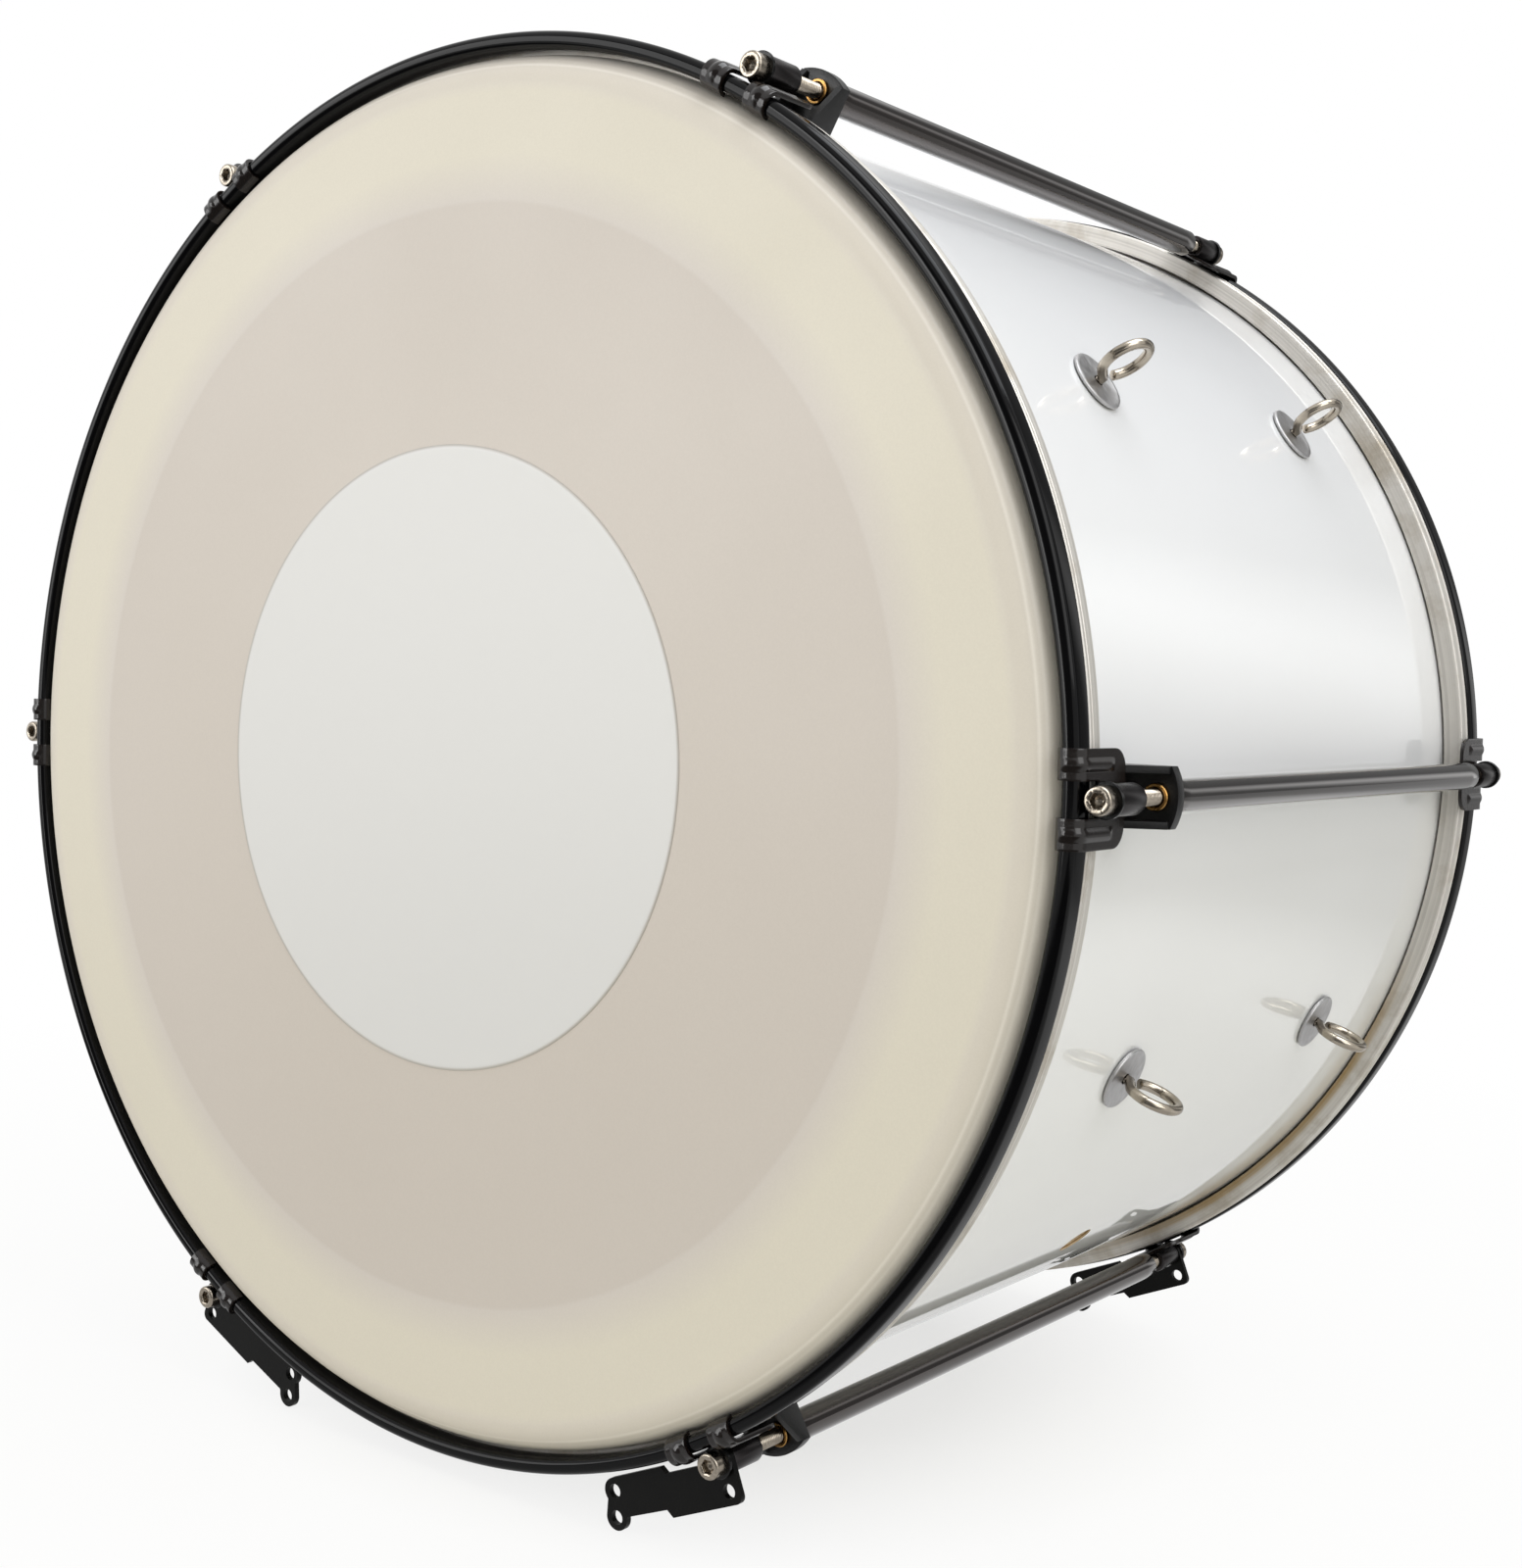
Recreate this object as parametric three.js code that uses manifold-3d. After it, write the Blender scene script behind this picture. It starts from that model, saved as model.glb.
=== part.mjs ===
// Marching bass drum, 22 inch: a wood shell with two heads, held between two hoops by six tension tubes
import * as THREE from 'three';
import { mergeVertices } from 'three/addons/utils/BufferGeometryUtils.js';
import Module from 'manifold-3d';

const wasm = await Module();
wasm.setup();

// Units are millimetres. The drum's axis lies along Y, its front head faces -Y and +Z is up.

// Shell
const shellDiameter = 557;
const shellLength = 398;
const shellWall = 6;
const edgeRound = 3.5;
const ventDiameter = 16;
const ventAngle = -46.5;

// Gaps between pieces, and how far a cutting tool runs past what it cuts
const seatGap = 0.3;
const bondGap = 0.1;
const legGap = 0.6;
const boreGap = 0.3;
const overrun = 4;

// Head: a film with a collar that runs down between the shell and the flesh hoop
const filmThickness = 0.4;
const collarProud = 2.4;

// Dot bonded to the middle of the front head
const dotDiameter = 255;
const dotThickness = 0.2;

// Counterhoop and flesh hoop
const hoopWidth = 6.4;
const hoopDepth = 11;
const hoopCorner = 2.8;
const fleshHoopWidth = 8.8;
const fleshHoopHeight = 8;

// Claw: a stamped plate with two hooks over the counterhoop, and a barrel welded between them
const clawSteel = 2;
const hookWidth = 10.5;
const hookGap = 12.2;
const hookLegLength = 7;
const clawTabLength = 29.3;
const clawTabCorner = 7.5;
const barrelDiameter = 11;
const barrelLength = 17.3;
const barrelSetback = 10;
const barrelWeldDepth = 1.6;

// Tension screw: socket head, with its flat washer
const screwDiameter = 6;
const screwLength = 50;
const screwHeadDiameter = 10;
const screwHeadHeight = 6;
const socketAcrossFlats = 5;
const socketDepth = 3;
const screwTipChamfer = 0.8;
const screwWasherDiameter = 12;
const screwWasherThickness = 1.6;

// Tension tube, with a threaded insert pressed into each end
const tubeDiameter = 12;
const tubeWall = 1.5;
const tubeChamfer = 1;
const tubeSetback = 38;
const insertDepth = 20;
const insertNeckDiameter = 8;
const insertFlangeDiameter = 9.4;
const insertFlangeThickness = 1;

// Lug bracket: a cast channel that stands on the shell and holds the front end of a tension tube
const bracketSetback = 46;
const bracketPlate = 4.5;
const bracketWidth = 21.2;
const bracketCrownHeight = 8;
const bracketCrownRadius = 22;
const bracketFlange = 2.5;
const bracketFoot = 3;
const bracketFootReach = 14;
const bracketTipReach = 1;

// Foot plate: clamped under a tension screw, it carries the drum on its lobe
const footSteel = 2.5;
const footTilt = 5.7;
const footHoleDiameter = 5.6;
const footBossRadius = 5.6;
const footHeelHole = 11.2;
const footHeelReach = 5;
const footHeelDepth = 16.4;
const footHeelCorner = 3;
const footStepStart = 31;
const footStepRun = 2;
const footWaistDepth = 13.1;
const footWaistTop = 0;
const footShoulderStart = 28.5;
const footShoulderRun = 1.8;
const footShoulderTop = 2.9;
const footUpperHole = [57.1, 2.2];
const footLobeHole = [60, 12];
const footLobeRadius = 5.2;
const footBossTurn = 150;
const footLobeTurn = 130;
const footLugAngle = 30;

// Eyebolt, with its washer outside the shell and its nut inside
const wireDiameter = 4;
const eyeRadius = 9.4;
const eyeStandoff = 12.4;
const eyeStartAngle = 42;
const eyeEndAngle = 338;
const eyeTwist = -3;
const neckRise = 1.6;
const shankTail = 2.5;
const eyeWasherDiameter = 25;
const eyeWasherThickness = 1.6;
const nutAcrossFlats = 8;
const nutHeight = 4;
const eyeSpacing = 183;
const eyeUpperAngle = 32.5;
const eyeLowerAngle = -23;

// Counts of facets
const drumFacets = 60;
const roundFacets = 12;
const tubeFacets = 12;
const washerFacets = 16;
const wireSteps = 22;
const eyePoints = 12;
const lobeSteps = 6;
const edgeSteps = 3;
const bendSteps = 2;
const holeSteps = 4;
const lugCount = 6;

// Sizes that follow from those above
const shellRadius = shellDiameter / 2;
const shellInner = shellRadius - shellWall;
const shellEnd = shellLength / 2;
const edgeCentre = { r: shellRadius - edgeRound, s: shellEnd - edgeRound };
const filmInner = shellRadius + seatGap;
const filmOuter = filmInner + filmThickness;
const headFace = shellEnd + seatGap + filmThickness;
const clawHalf = hookGap / 2 + hookWidth;
const facetShrink = Math.cos(Math.PI / drumFacets);
const hookLegInner = filmOuter + legGap;
const hookLegOuter = hookLegInner + clawSteel;
const hoopInner = (Math.hypot(hookLegOuter, clawHalf) + seatGap) / facetShrink;
const hoopOuter = hoopInner + hoopWidth;
const hoopFront = headFace - collarProud;
const hoopRear = hoopFront - hoopDepth;
const fleshInner = filmOuter + seatGap;
const fleshTop = hoopRear - seatGap;
const fleshBottom = fleshTop - fleshHoopHeight;
const clawPlateInner = hoopOuter + seatGap;
const clawPlateOuter = clawPlateInner + clawSteel;
const clawFrontInner = hoopFront + seatGap;
const clawFront = clawFrontInner + clawSteel;
const clawRear = hoopFront - clawTabLength;
const clawWebFront = hoopRear - seatGap;
const screwCircle = clawPlateOuter + barrelDiameter / 2 - barrelWeldDepth;
const barrelFront = hoopFront - barrelSetback;
const barrelRear = barrelFront - barrelLength;
const screwHole = screwDiameter / 2 + boreGap;
const footFace = barrelFront + seatGap;
const shellSeat = shellRadius + seatGap;
const bracketFaceReach = shellEnd - bracketSetback;
const tubeRearReach = shellEnd - tubeSetback;

const radians = THREE.MathUtils.degToRad;

// Takes doubled points and empty triangles out of a geometry, so that it is one closed mesh
function closed(geometry) {
  const bare = geometry.index ? geometry.toNonIndexed() : geometry.clone();
  bare.deleteAttribute('normal');
  bare.deleteAttribute('uv');
  const merged = mergeVertices(bare);
  const index = merged.index.array;
  const kept = [];
  for (let i = 0; i < index.length; i += 3) {
    const [a, b, c] = [index[i], index[i + 1], index[i + 2]];
    if (a !== b && b !== c && c !== a) kept.push(a, b, c);
  }
  merged.setIndex(kept);
  return merged;
}

// Turns a geometry into a solid that can be joined and cut
function solid(geometry) {
  const mesh = closed(geometry);
  const vertProperties = new Float32Array(mesh.attributes.position.array);
  const triVerts = new Uint32Array(mesh.index.array);
  return new wasm.Manifold(new wasm.Mesh({ numProp: 3, vertProperties, triVerts }));
}

// Turns a solid back into a geometry
function surface(manifold) {
  const mesh = manifold.getMesh();
  const geometry = new THREE.BufferGeometry();
  geometry.setAttribute('position', new THREE.BufferAttribute(mesh.vertProperties, 3));
  geometry.setIndex(new THREE.BufferAttribute(mesh.triVerts, 1));
  geometry.computeVertexNormals();
  return geometry;
}

// Revolves [radius, height] points about Y. A ring's profile runs up its outer side and closes on itself.
function revolved(profile, facets) {
  const points = profile.map(([r, s]) => new THREE.Vector2(r, s));
  return new THREE.LatheGeometry(points, facets);
}

function ring(profile, facets) {
  return revolved([...profile, profile[0]], facets);
}

// A cylinder along Y between two heights, set off along X
function pin(radius, from, to, facets = roundFacets, offset = 0) {
  return new THREE.CylinderGeometry(radius, radius, to - from, facets).translate(offset, (from + to) / 2, 0);
}

// A box between two corners
function block(low, high) {
  const size = high.map((value, i) => value - low[i]);
  const middle = high.map((value, i) => (value + low[i]) / 2);
  return new THREE.BoxGeometry(...size).translate(...middle);
}

function extruded(shape, depth, curveSegments = bendSteps) {
  return new THREE.ExtrudeGeometry(shape, { depth, bevelEnabled: false, curveSegments });
}

// Lays a shape drawn as (tangential, radial) flat across the drum's axis, with its thickness along Y
function acrossAxis(geometry) {
  const basis = new THREE.Matrix4();
  basis.makeBasis(new THREE.Vector3(0, 0, 1), new THREE.Vector3(1, 0, 0), new THREE.Vector3(0, 1, 0));
  return geometry.applyMatrix4(basis);
}

// Points along an arc, from one angle to another in degrees
function arc(centre, radius, from, to, steps = edgeSteps) {
  const points = [];
  for (let i = 0; i <= steps; i += 1) {
    const angle = radians(from + (to - from) * i / steps);
    points.push([centre.r + radius * Math.cos(angle), centre.s + radius * Math.sin(angle)]);
  }
  return points;
}

function finish(color, roughness, metalness) {
  return () => new THREE.MeshStandardMaterial({ color, roughness, metalness });
}

const whiteLacquer = finish(0xf0f0f0, 0.12, 0);
const headFilm = finish(0xdfd8c8, 0.45, 0);
const dotFilm = finish(0xdedddc, 0.4, 0);
const blackEnamel = finish(0x101012, 0.25, 0);
const aluminium = finish(0xc9c7c0, 0.35, 1);
const blackSteel = finish(0x2a2928, 0.4, 0.8);
const stainless = finish(0xb9b4a8, 0.3, 1);
const darkChrome = finish(0x4a4441, 0.22, 1);
const nickel = finish(0xb8ad98, 0.22, 1);

function piece(name, geometry, makeMaterial) {
  const mesh = new THREE.Mesh(geometry, makeMaterial());
  mesh.name = name;
  return mesh;
}

// Shell: a tube with a rounded outer bearing edge and a 45 degree inner cut at each end
function shellSolid() {
  const crest = shellRadius - edgeRound;
  const cut = crest - shellInner;
  const lowerEdge = { r: edgeCentre.r, s: -edgeCentre.s };
  const profile = [
    [shellInner, shellEnd - cut],
    [shellInner, cut - shellEnd],
    ...arc(lowerEdge, edgeRound, -90, 0),
    ...arc(edgeCentre, edgeRound, 0, 90),
  ];
  let body = solid(ring(profile, drumFacets));
  const drill = (angle, y, radius) => {
    const tool = pin(radius, shellInner - shellWall - overrun, shellRadius + overrun);
    tool.rotateZ(-Math.PI / 2).translate(0, y, 0).rotateY(-radians(angle));
    body = body.subtract(solid(tool));
  };
  drill(ventAngle, 0, ventDiameter / 2);
  for (const angle of [eyeUpperAngle, eyeLowerAngle]) {
    for (const side of [-1, 1]) {
      drill(angle, side * eyeSpacing / 2, wireDiameter / 2 + boreGap);
    }
  }
  return body;
}

// Head: flat film, rounded over the bearing edge, with its collar tucked inside the flesh hoop
function headGeometry() {
  const underside = shellEnd + seatGap;
  const innerRound = arc(edgeCentre, edgeRound + seatGap, 90, 0);
  const outerRound = arc(edgeCentre, edgeRound + seatGap + filmThickness, 0, 90);
  return revolved([
    [0, underside],
    ...innerRound,
    [filmInner, fleshBottom],
    [filmOuter, fleshBottom],
    ...outerRound,
    [0, headFace],
  ], drumFacets);
}

function dotGeometry() {
  const face = headFace + bondGap;
  return revolved([
    [0, face],
    [dotDiameter / 2, face],
    [dotDiameter / 2, face + dotThickness],
    [0, face + dotThickness],
  ], drumFacets);
}

function counterhoopGeometry() {
  const [near, far] = [hoopInner + hoopCorner, hoopOuter - hoopCorner];
  const [low, high] = [hoopRear + hoopCorner, hoopFront - hoopCorner];
  return ring([
    ...arc({ r: far, s: low }, hoopCorner, -90, 0, bendSteps),
    ...arc({ r: far, s: high }, hoopCorner, 0, 90, bendSteps),
    ...arc({ r: near, s: high }, hoopCorner, 90, 180, 1),
    ...arc({ r: near, s: low }, hoopCorner, 180, 270, 1),
  ], drumFacets);
}

function fleshHoopGeometry() {
  const outer = fleshInner + fleshHoopWidth;
  return ring([
    [outer, fleshBottom],
    [outer, fleshTop],
    [fleshInner, fleshTop],
    [fleshInner, fleshBottom],
  ], drumFacets);
}

// Side view of the claw: flat tab, over the hoop's front, and down its inner side
function clawSideShape() {
  const inside = hoopCorner + seatGap;
  const outside = inside + clawSteel;
  const shape = new THREE.Shape();
  shape.moveTo(clawPlateInner, clawRear);
  shape.lineTo(clawPlateOuter, clawRear);
  shape.lineTo(clawPlateOuter, clawFront - outside);
  shape.absarc(clawPlateOuter - outside, clawFront - outside, outside, 0, Math.PI / 2);
  shape.absarc(hookLegInner + outside, clawFront - outside, outside, Math.PI / 2, Math.PI);
  shape.lineTo(hookLegInner, hoopFront - hookLegLength);
  shape.lineTo(hookLegOuter, hoopFront - hookLegLength);
  shape.absarc(hookLegOuter + inside, clawFrontInner - inside, inside, Math.PI, Math.PI / 2, true);
  shape.absarc(clawPlateInner - inside, clawFrontInner - inside, inside, Math.PI / 2, 0, true);
  shape.closePath();
  return shape;
}

// Plan of the claw: two prongs at the front, rounded corners on the tab at the rear
function clawPlanShape() {
  const half = hookGap / 2;
  const tip = clawFront + overrun;
  const corner = Math.min(clawTabCorner, clawHalf);
  const shape = new THREE.Shape();
  shape.moveTo(clawHalf, tip);
  shape.lineTo(half, tip);
  shape.lineTo(half, clawWebFront);
  shape.lineTo(-half, clawWebFront);
  shape.lineTo(-half, tip);
  shape.lineTo(-clawHalf, tip);
  shape.absarc(corner - clawHalf, clawRear + corner, corner, Math.PI, 1.5 * Math.PI);
  shape.absarc(clawHalf - corner, clawRear + corner, corner, 1.5 * Math.PI, 2 * Math.PI);
  shape.closePath();
  return shape;
}

function clawSolid() {
  const side = extruded(clawSideShape(), 2 * clawHalf, 1).translate(0, 0, -clawHalf);
  const reach = clawPlateOuter - hookLegInner + 2 * overrun;
  const plan = extruded(clawPlanShape(), reach).rotateY(Math.PI / 2).translate(hookLegInner - overrun, 0, 0);
  const barrel = pin(barrelDiameter / 2, barrelRear, barrelFront, roundFacets, screwCircle);
  const bore = pin(screwHole, barrelRear - overrun, barrelFront + overrun, roundFacets, screwCircle);
  return solid(side).intersect(solid(plan)).add(solid(barrel)).subtract(solid(bore));
}

// Screw, on the Y axis with the underside of its washer at height zero and its head above
function screwSolid() {
  const shaft = screwDiameter / 2;
  const seat = screwWasherThickness;
  const top = seat + screwHeadHeight;
  const tip = seat - screwLength;
  const body = revolved([
    [0, tip],
    [shaft - screwTipChamfer, tip],
    [shaft, tip + screwTipChamfer],
    [shaft, 0],
    [screwWasherDiameter / 2, 0],
    [screwWasherDiameter / 2, seat],
    [screwHeadDiameter / 2, seat],
    [screwHeadDiameter / 2, top],
    [0, top],
  ], roundFacets);
  const socketRadius = socketAcrossFlats / 2 / Math.cos(Math.PI / 6);
  const socket = pin(socketRadius, top - socketDepth, top + overrun, 6);
  return solid(body).subtract(solid(socket));
}

// Tension tube with its two inserts; the front insert's neck and flange pass through the lug bracket
function tubeGeometry() {
  const outer = tubeDiameter / 2;
  const bore = outer - tubeWall;
  const neck = insertNeckDiameter / 2;
  const flange = insertFlangeDiameter / 2;
  const front = bracketFaceReach - bracketPlate - seatGap;
  const flangeBack = bracketFaceReach + seatGap;
  const flangeFace = flangeBack + insertFlangeThickness;
  return ring([
    [outer, -tubeRearReach + tubeChamfer],
    [outer, front],
    [neck, front],
    [neck, flangeBack],
    [flange, flangeBack],
    [flange, flangeFace],
    [screwHole, flangeFace],
    [screwHole, front - insertDepth],
    [bore, front - insertDepth],
    [bore, insertDepth - tubeRearReach],
    [screwHole, insertDepth - tubeRearReach],
    [screwHole, -tubeRearReach],
    [outer - tubeChamfer, -tubeRearReach],
  ], tubeFacets);
}

// Lug bracket: back plate with a crowned rim, two tapering flanges, and a foot on the shell
function bracketSolid() {
  const half = bracketWidth / 2;
  const rim = screwCircle + bracketCrownHeight;
  const radius = Math.max(bracketCrownRadius, half);
  const crownCentre = rim - radius;
  const lean = Math.asin(half / radius);
  const back = bracketFaceReach - bracketPlate;
  const plateShape = new THREE.Shape();
  plateShape.moveTo(-half, shellSeat);
  plateShape.lineTo(half, shellSeat);
  plateShape.absarc(0, crownCentre, radius, Math.PI / 2 - lean, Math.PI / 2 + lean);
  plateShape.closePath();
  const plate = acrossAxis(extruded(plateShape, bracketPlate)).translate(0, back, 0);
  const shoulder = crownCentre + radius * Math.cos(lean);
  const flangeShape = new THREE.Shape();
  flangeShape.moveTo(shellSeat, back);
  flangeShape.lineTo(shoulder, back);
  flangeShape.lineTo(shoulder, bracketFaceReach + bracketTipReach);
  flangeShape.lineTo(shellSeat, bracketFaceReach + bracketFootReach);
  flangeShape.closePath();
  const flange = extruded(flangeShape, bracketFlange);
  const near = flange.clone().translate(0, 0, half - bracketFlange);
  const far = flange.clone().translate(0, 0, -half);
  const footTop = shellSeat + bracketFoot;
  const taper = (bracketFootReach - bracketTipReach) / (shoulder - shellSeat);
  const footFront = bracketFaceReach + bracketFootReach - taper * bracketFoot;
  const foot = block([shellSeat, back, -half], [footTop, footFront, half]);
  const hole = pin(insertNeckDiameter / 2 + boreGap, back - overrun, bracketFaceReach + overrun,
    roundFacets, screwCircle);
  return solid(plate).add(solid(near)).add(solid(far)).add(solid(foot)).subtract(solid(hole));
}

// Foot plate, drawn with the screw hole at the origin, its lobe end along +X and outward along +Y
function footShape(hand) {
  const at = (x, y) => [hand * x, y];
  const [lobeX, lobeY] = footLobeHole;
  const [upperX, upperY] = footUpperHole;
  const upperRadius = upperY + footShoulderTop;
  const corner = { r: footHeelCorner - footHeelReach, s: footHeelDepth - footHeelCorner };
  const lobeStart = Math.asin((footWaistDepth - lobeY) / footLobeRadius);
  const lean = Math.atan2(lobeX - upperX, lobeY - upperY) * 180 / Math.PI;
  const outline = [
    ...arc({ r: 0, s: 0 }, footBossRadius, 0, -footBossTurn),
    [-footHeelReach, footBossRadius],
    ...arc(corner, footHeelCorner, 180, 90),
    [footStepStart, footHeelDepth],
    [footStepStart + footStepRun, footWaistDepth],
    [lobeX - footLobeRadius * Math.cos(lobeStart), footWaistDepth],
    ...arc({ r: lobeX, s: lobeY }, footLobeRadius, footLobeTurn, -lean, lobeSteps),
    ...arc({ r: upperX, s: upperY }, upperRadius, -lean, -90),
    [footShoulderStart + footShoulderRun, -footShoulderTop],
    [footShoulderStart, footWaistTop],
  ];
  const shape = new THREE.Shape(outline.map(([x, y]) => new THREE.Vector2(...at(x, y))));
  const hole = (x, y, diameter) => {
    const path = new THREE.Path();
    path.absarc(...at(x, y), diameter / 2, 0, 2 * Math.PI);
    shape.holes.push(path);
  };
  hole(0, 0, 2 * screwHole);
  hole(0, footHeelHole, footHoleDiameter);
  hole(...footUpperHole, footHoleDiameter);
  hole(...footLobeHole, footHoleDiameter);
  return shape;
}

// Eyebolt, standing along Y with its eye in the XY plane; heights are measured from the drum's axis
function eyeboltGeometry() {
  const tail = shellInner - seatGap - nutHeight - shankTail;
  const face = shellSeat + eyeWasherThickness;
  const centre = face + eyeStandoff;
  const points = [new THREE.Vector3(0, tail, 0), new THREE.Vector3(0, face, 0)];
  points.push(new THREE.Vector3(0, face + neckRise, 0));
  for (let i = 0; i <= eyePoints; i += 1) {
    const angle = radians(eyeStartAngle + (eyeEndAngle - eyeStartAngle) * i / eyePoints);
    points.push(new THREE.Vector3(eyeRadius * Math.sin(angle), centre - eyeRadius * Math.cos(angle), 0));
  }
  const path = new THREE.CatmullRomCurve3(points, false, 'centripetal');
  const section = new THREE.Shape();
  section.absarc(0, 0, wireDiameter / 2, 0, 2 * Math.PI);
  return new THREE.ExtrudeGeometry(section, {
    steps: wireSteps, curveSegments: holeSteps, bevelEnabled: false, extrudePath: path,
  });
}

function eyeWasherGeometry() {
  const hole = wireDiameter / 2 + boreGap;
  const rim = eyeWasherDiameter / 2;
  const top = shellSeat + eyeWasherThickness;
  return ring([[rim, shellSeat], [rim, top], [hole, top], [hole, shellSeat]], washerFacets);
}

function nutGeometry() {
  const corner = nutAcrossFlats / 2 / Math.cos(Math.PI / 6);
  const points = Array.from({ length: 6 }, (_, i) => {
    const angle = i * Math.PI / 3;
    return new THREE.Vector2(corner * Math.cos(angle), corner * Math.sin(angle));
  });
  const shape = new THREE.Shape(points);
  const hole = new THREE.Path();
  hole.absarc(0, 0, wireDiameter / 2 + boreGap, 0, 2 * Math.PI);
  shape.holes.push(hole);
  const seat = Math.sqrt(shellInner ** 2 - corner ** 2) * facetShrink - seatGap;
  return extruded(shape, nutHeight, holeSteps).rotateX(-Math.PI / 2).translate(0, seat - nutHeight, 0);
}

// Assembly
const drum = new THREE.Group();
const lugAngles = Array.from({ length: lugCount }, (_, i) => i * 360 / lugCount);
const footLugs = { 240: -1, 300: 1 };

// A group turned so that its X axis points from the drum's axis towards an angle, measured from +X to +Z
function spoke(parent, angle) {
  const group = new THREE.Group();
  group.rotation.y = -radians(angle);
  parent.add(group);
  return group;
}

drum.add(piece('shell', surface(shellSolid()), whiteLacquer));

const clawShape = surface(clawSolid());
const screwShape = surface(screwSolid());
const tubeShape = tubeGeometry();
const bracketShape = surface(bracketSolid());

// Each end group's Y axis points outward from the drum's middle
for (const end of ['front', 'rear']) {
  const front = end === 'front';
  const group = new THREE.Group();
  group.rotation.z = front ? Math.PI : 0;
  drum.add(group);
  group.add(piece(`${end}_head`, headGeometry(), headFilm));
  if (front) group.add(piece('front_head_dot', dotGeometry(), dotFilm));
  group.add(piece(`${end}_counterhoop`, counterhoopGeometry(), blackEnamel));
  group.add(piece(`${end}_flesh_hoop`, fleshHoopGeometry(), aluminium));
  lugAngles.forEach((angle, i) => {
    const lug = spoke(group, front ? 180 - angle : angle);
    const number = i + 1;
    lug.add(piece(`${end}_claw_${number}`, clawShape, blackSteel));
    const screw = piece(`${end}_screw_${number}`, screwShape, stainless);
    const side = footLugs[angle];
    screw.position.set(screwCircle, side ? footFace + footSteel + seatGap : footFace, 0);
    lug.add(screw);
    if (side) {
      const hand = front ? side : -side;
      const shape = acrossAxis(extruded(footShape(hand), footSteel, holeSteps));
      const name = `${end}_foot_plate_${side < 0 ? 'left' : 'right'}`;
      const plate = piece(name, shape, blackSteel);
      plate.position.set(screwCircle, footFace, 0);
      plate.rotation.y = -hand * radians(footTilt);
      lug.add(plate);
    }
    if (front) {
      lug.add(piece(`lug_bracket_${number}`, bracketShape, blackEnamel));
      const tube = piece(`tension_tube_${number}`, tubeShape, darkChrome);
      tube.position.x = screwCircle;
      lug.add(tube);
    }
  });
}

const eyeShape = eyeboltGeometry();
for (const [level, angle] of [['upper', eyeUpperAngle], ['lower', eyeLowerAngle]]) {
  for (const side of [-1, 1]) {
    const place = `${level}_${side < 0 ? 'front' : 'rear'}`;
    const stand = new THREE.Group();
    stand.rotation.z = -Math.PI / 2;
    stand.position.y = side * eyeSpacing / 2;
    spoke(drum, angle).add(stand);
    const bolt = piece(`eyebolt_${place}`, eyeShape, nickel);
    bolt.rotation.y = radians(eyeTwist);
    stand.add(bolt);
    stand.add(piece(`eyebolt_washer_${place}`, eyeWasherGeometry(), nickel));
    stand.add(piece(`eyebolt_nut_${place}`, nutGeometry(), nickel));
  }
}

// The drum stands on the lobes of its foot plates, so its axis is as high as the lowest lobe is deep
const tilt = radians(footTilt);
const lobeAcross = footLobeHole[0] * Math.cos(tilt) + footLobeHole[1] * Math.sin(tilt);
const lobeOut = footLobeHole[1] * Math.cos(tilt) - footLobeHole[0] * Math.sin(tilt);
const lobeAngle = radians(footLugAngle);
const lobeDepth = (screwCircle + lobeOut) * Math.cos(lobeAngle) + lobeAcross * Math.sin(lobeAngle);
drum.position.z = lobeDepth + footLobeRadius;

const part = new THREE.Group();
part.add(drum);

export default part;
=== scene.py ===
# %% [markdown]
# # A marching bass drum, dressed around its frame
# The drum is a white lacquered shell with a head on each end. Black hoops press the heads
# down, claws hook over the hoops, and socket screws pull the claws towards long tubes.
# The CAD frame gives every size and every moving body. This lesson builds what the eye
# sees on top of it: surfaces worked out with numpy, and finishes made of shader nodes.

import bmesh
import bpy
import numpy as np
from mathutils import Matrix, Quaternion, Vector


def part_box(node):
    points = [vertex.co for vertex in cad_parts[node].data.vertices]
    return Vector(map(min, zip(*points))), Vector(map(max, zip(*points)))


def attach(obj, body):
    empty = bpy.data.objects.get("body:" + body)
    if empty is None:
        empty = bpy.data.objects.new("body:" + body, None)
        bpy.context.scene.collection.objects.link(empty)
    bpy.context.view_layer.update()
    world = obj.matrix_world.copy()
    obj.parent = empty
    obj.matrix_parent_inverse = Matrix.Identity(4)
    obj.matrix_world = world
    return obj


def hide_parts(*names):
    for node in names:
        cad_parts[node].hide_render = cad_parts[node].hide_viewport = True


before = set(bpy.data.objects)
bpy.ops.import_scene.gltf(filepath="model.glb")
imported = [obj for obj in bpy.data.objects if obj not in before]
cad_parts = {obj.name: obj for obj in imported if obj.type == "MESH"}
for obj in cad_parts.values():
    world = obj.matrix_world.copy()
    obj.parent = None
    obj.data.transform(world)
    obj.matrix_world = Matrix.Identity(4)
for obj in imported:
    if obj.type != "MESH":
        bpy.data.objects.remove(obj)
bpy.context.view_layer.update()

# %% [markdown]
# ## Where things are
# All the drum's round pieces share one axis, along Y. A place on the drum is easiest to say
# as three lengths: r out from the axis, s out from the drum's middle towards one end, and u
# sideways. A station is a turned set of those three directions, one for each lug and end.

# %% Sizes and stations
MM = 0.001
LUG_ANGLES = (0, 60, 120, 180, 240, 300)
lowest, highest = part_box("front_counterhoop")
AXIS_HEIGHT = (lowest.z + highest.z) / 2
SHELL_RADIUS = 278.5
SCREW_CIRCLE = 295.576
BARREL_FRONT = 187.3
FOOT_STEEL = 2.5


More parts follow.
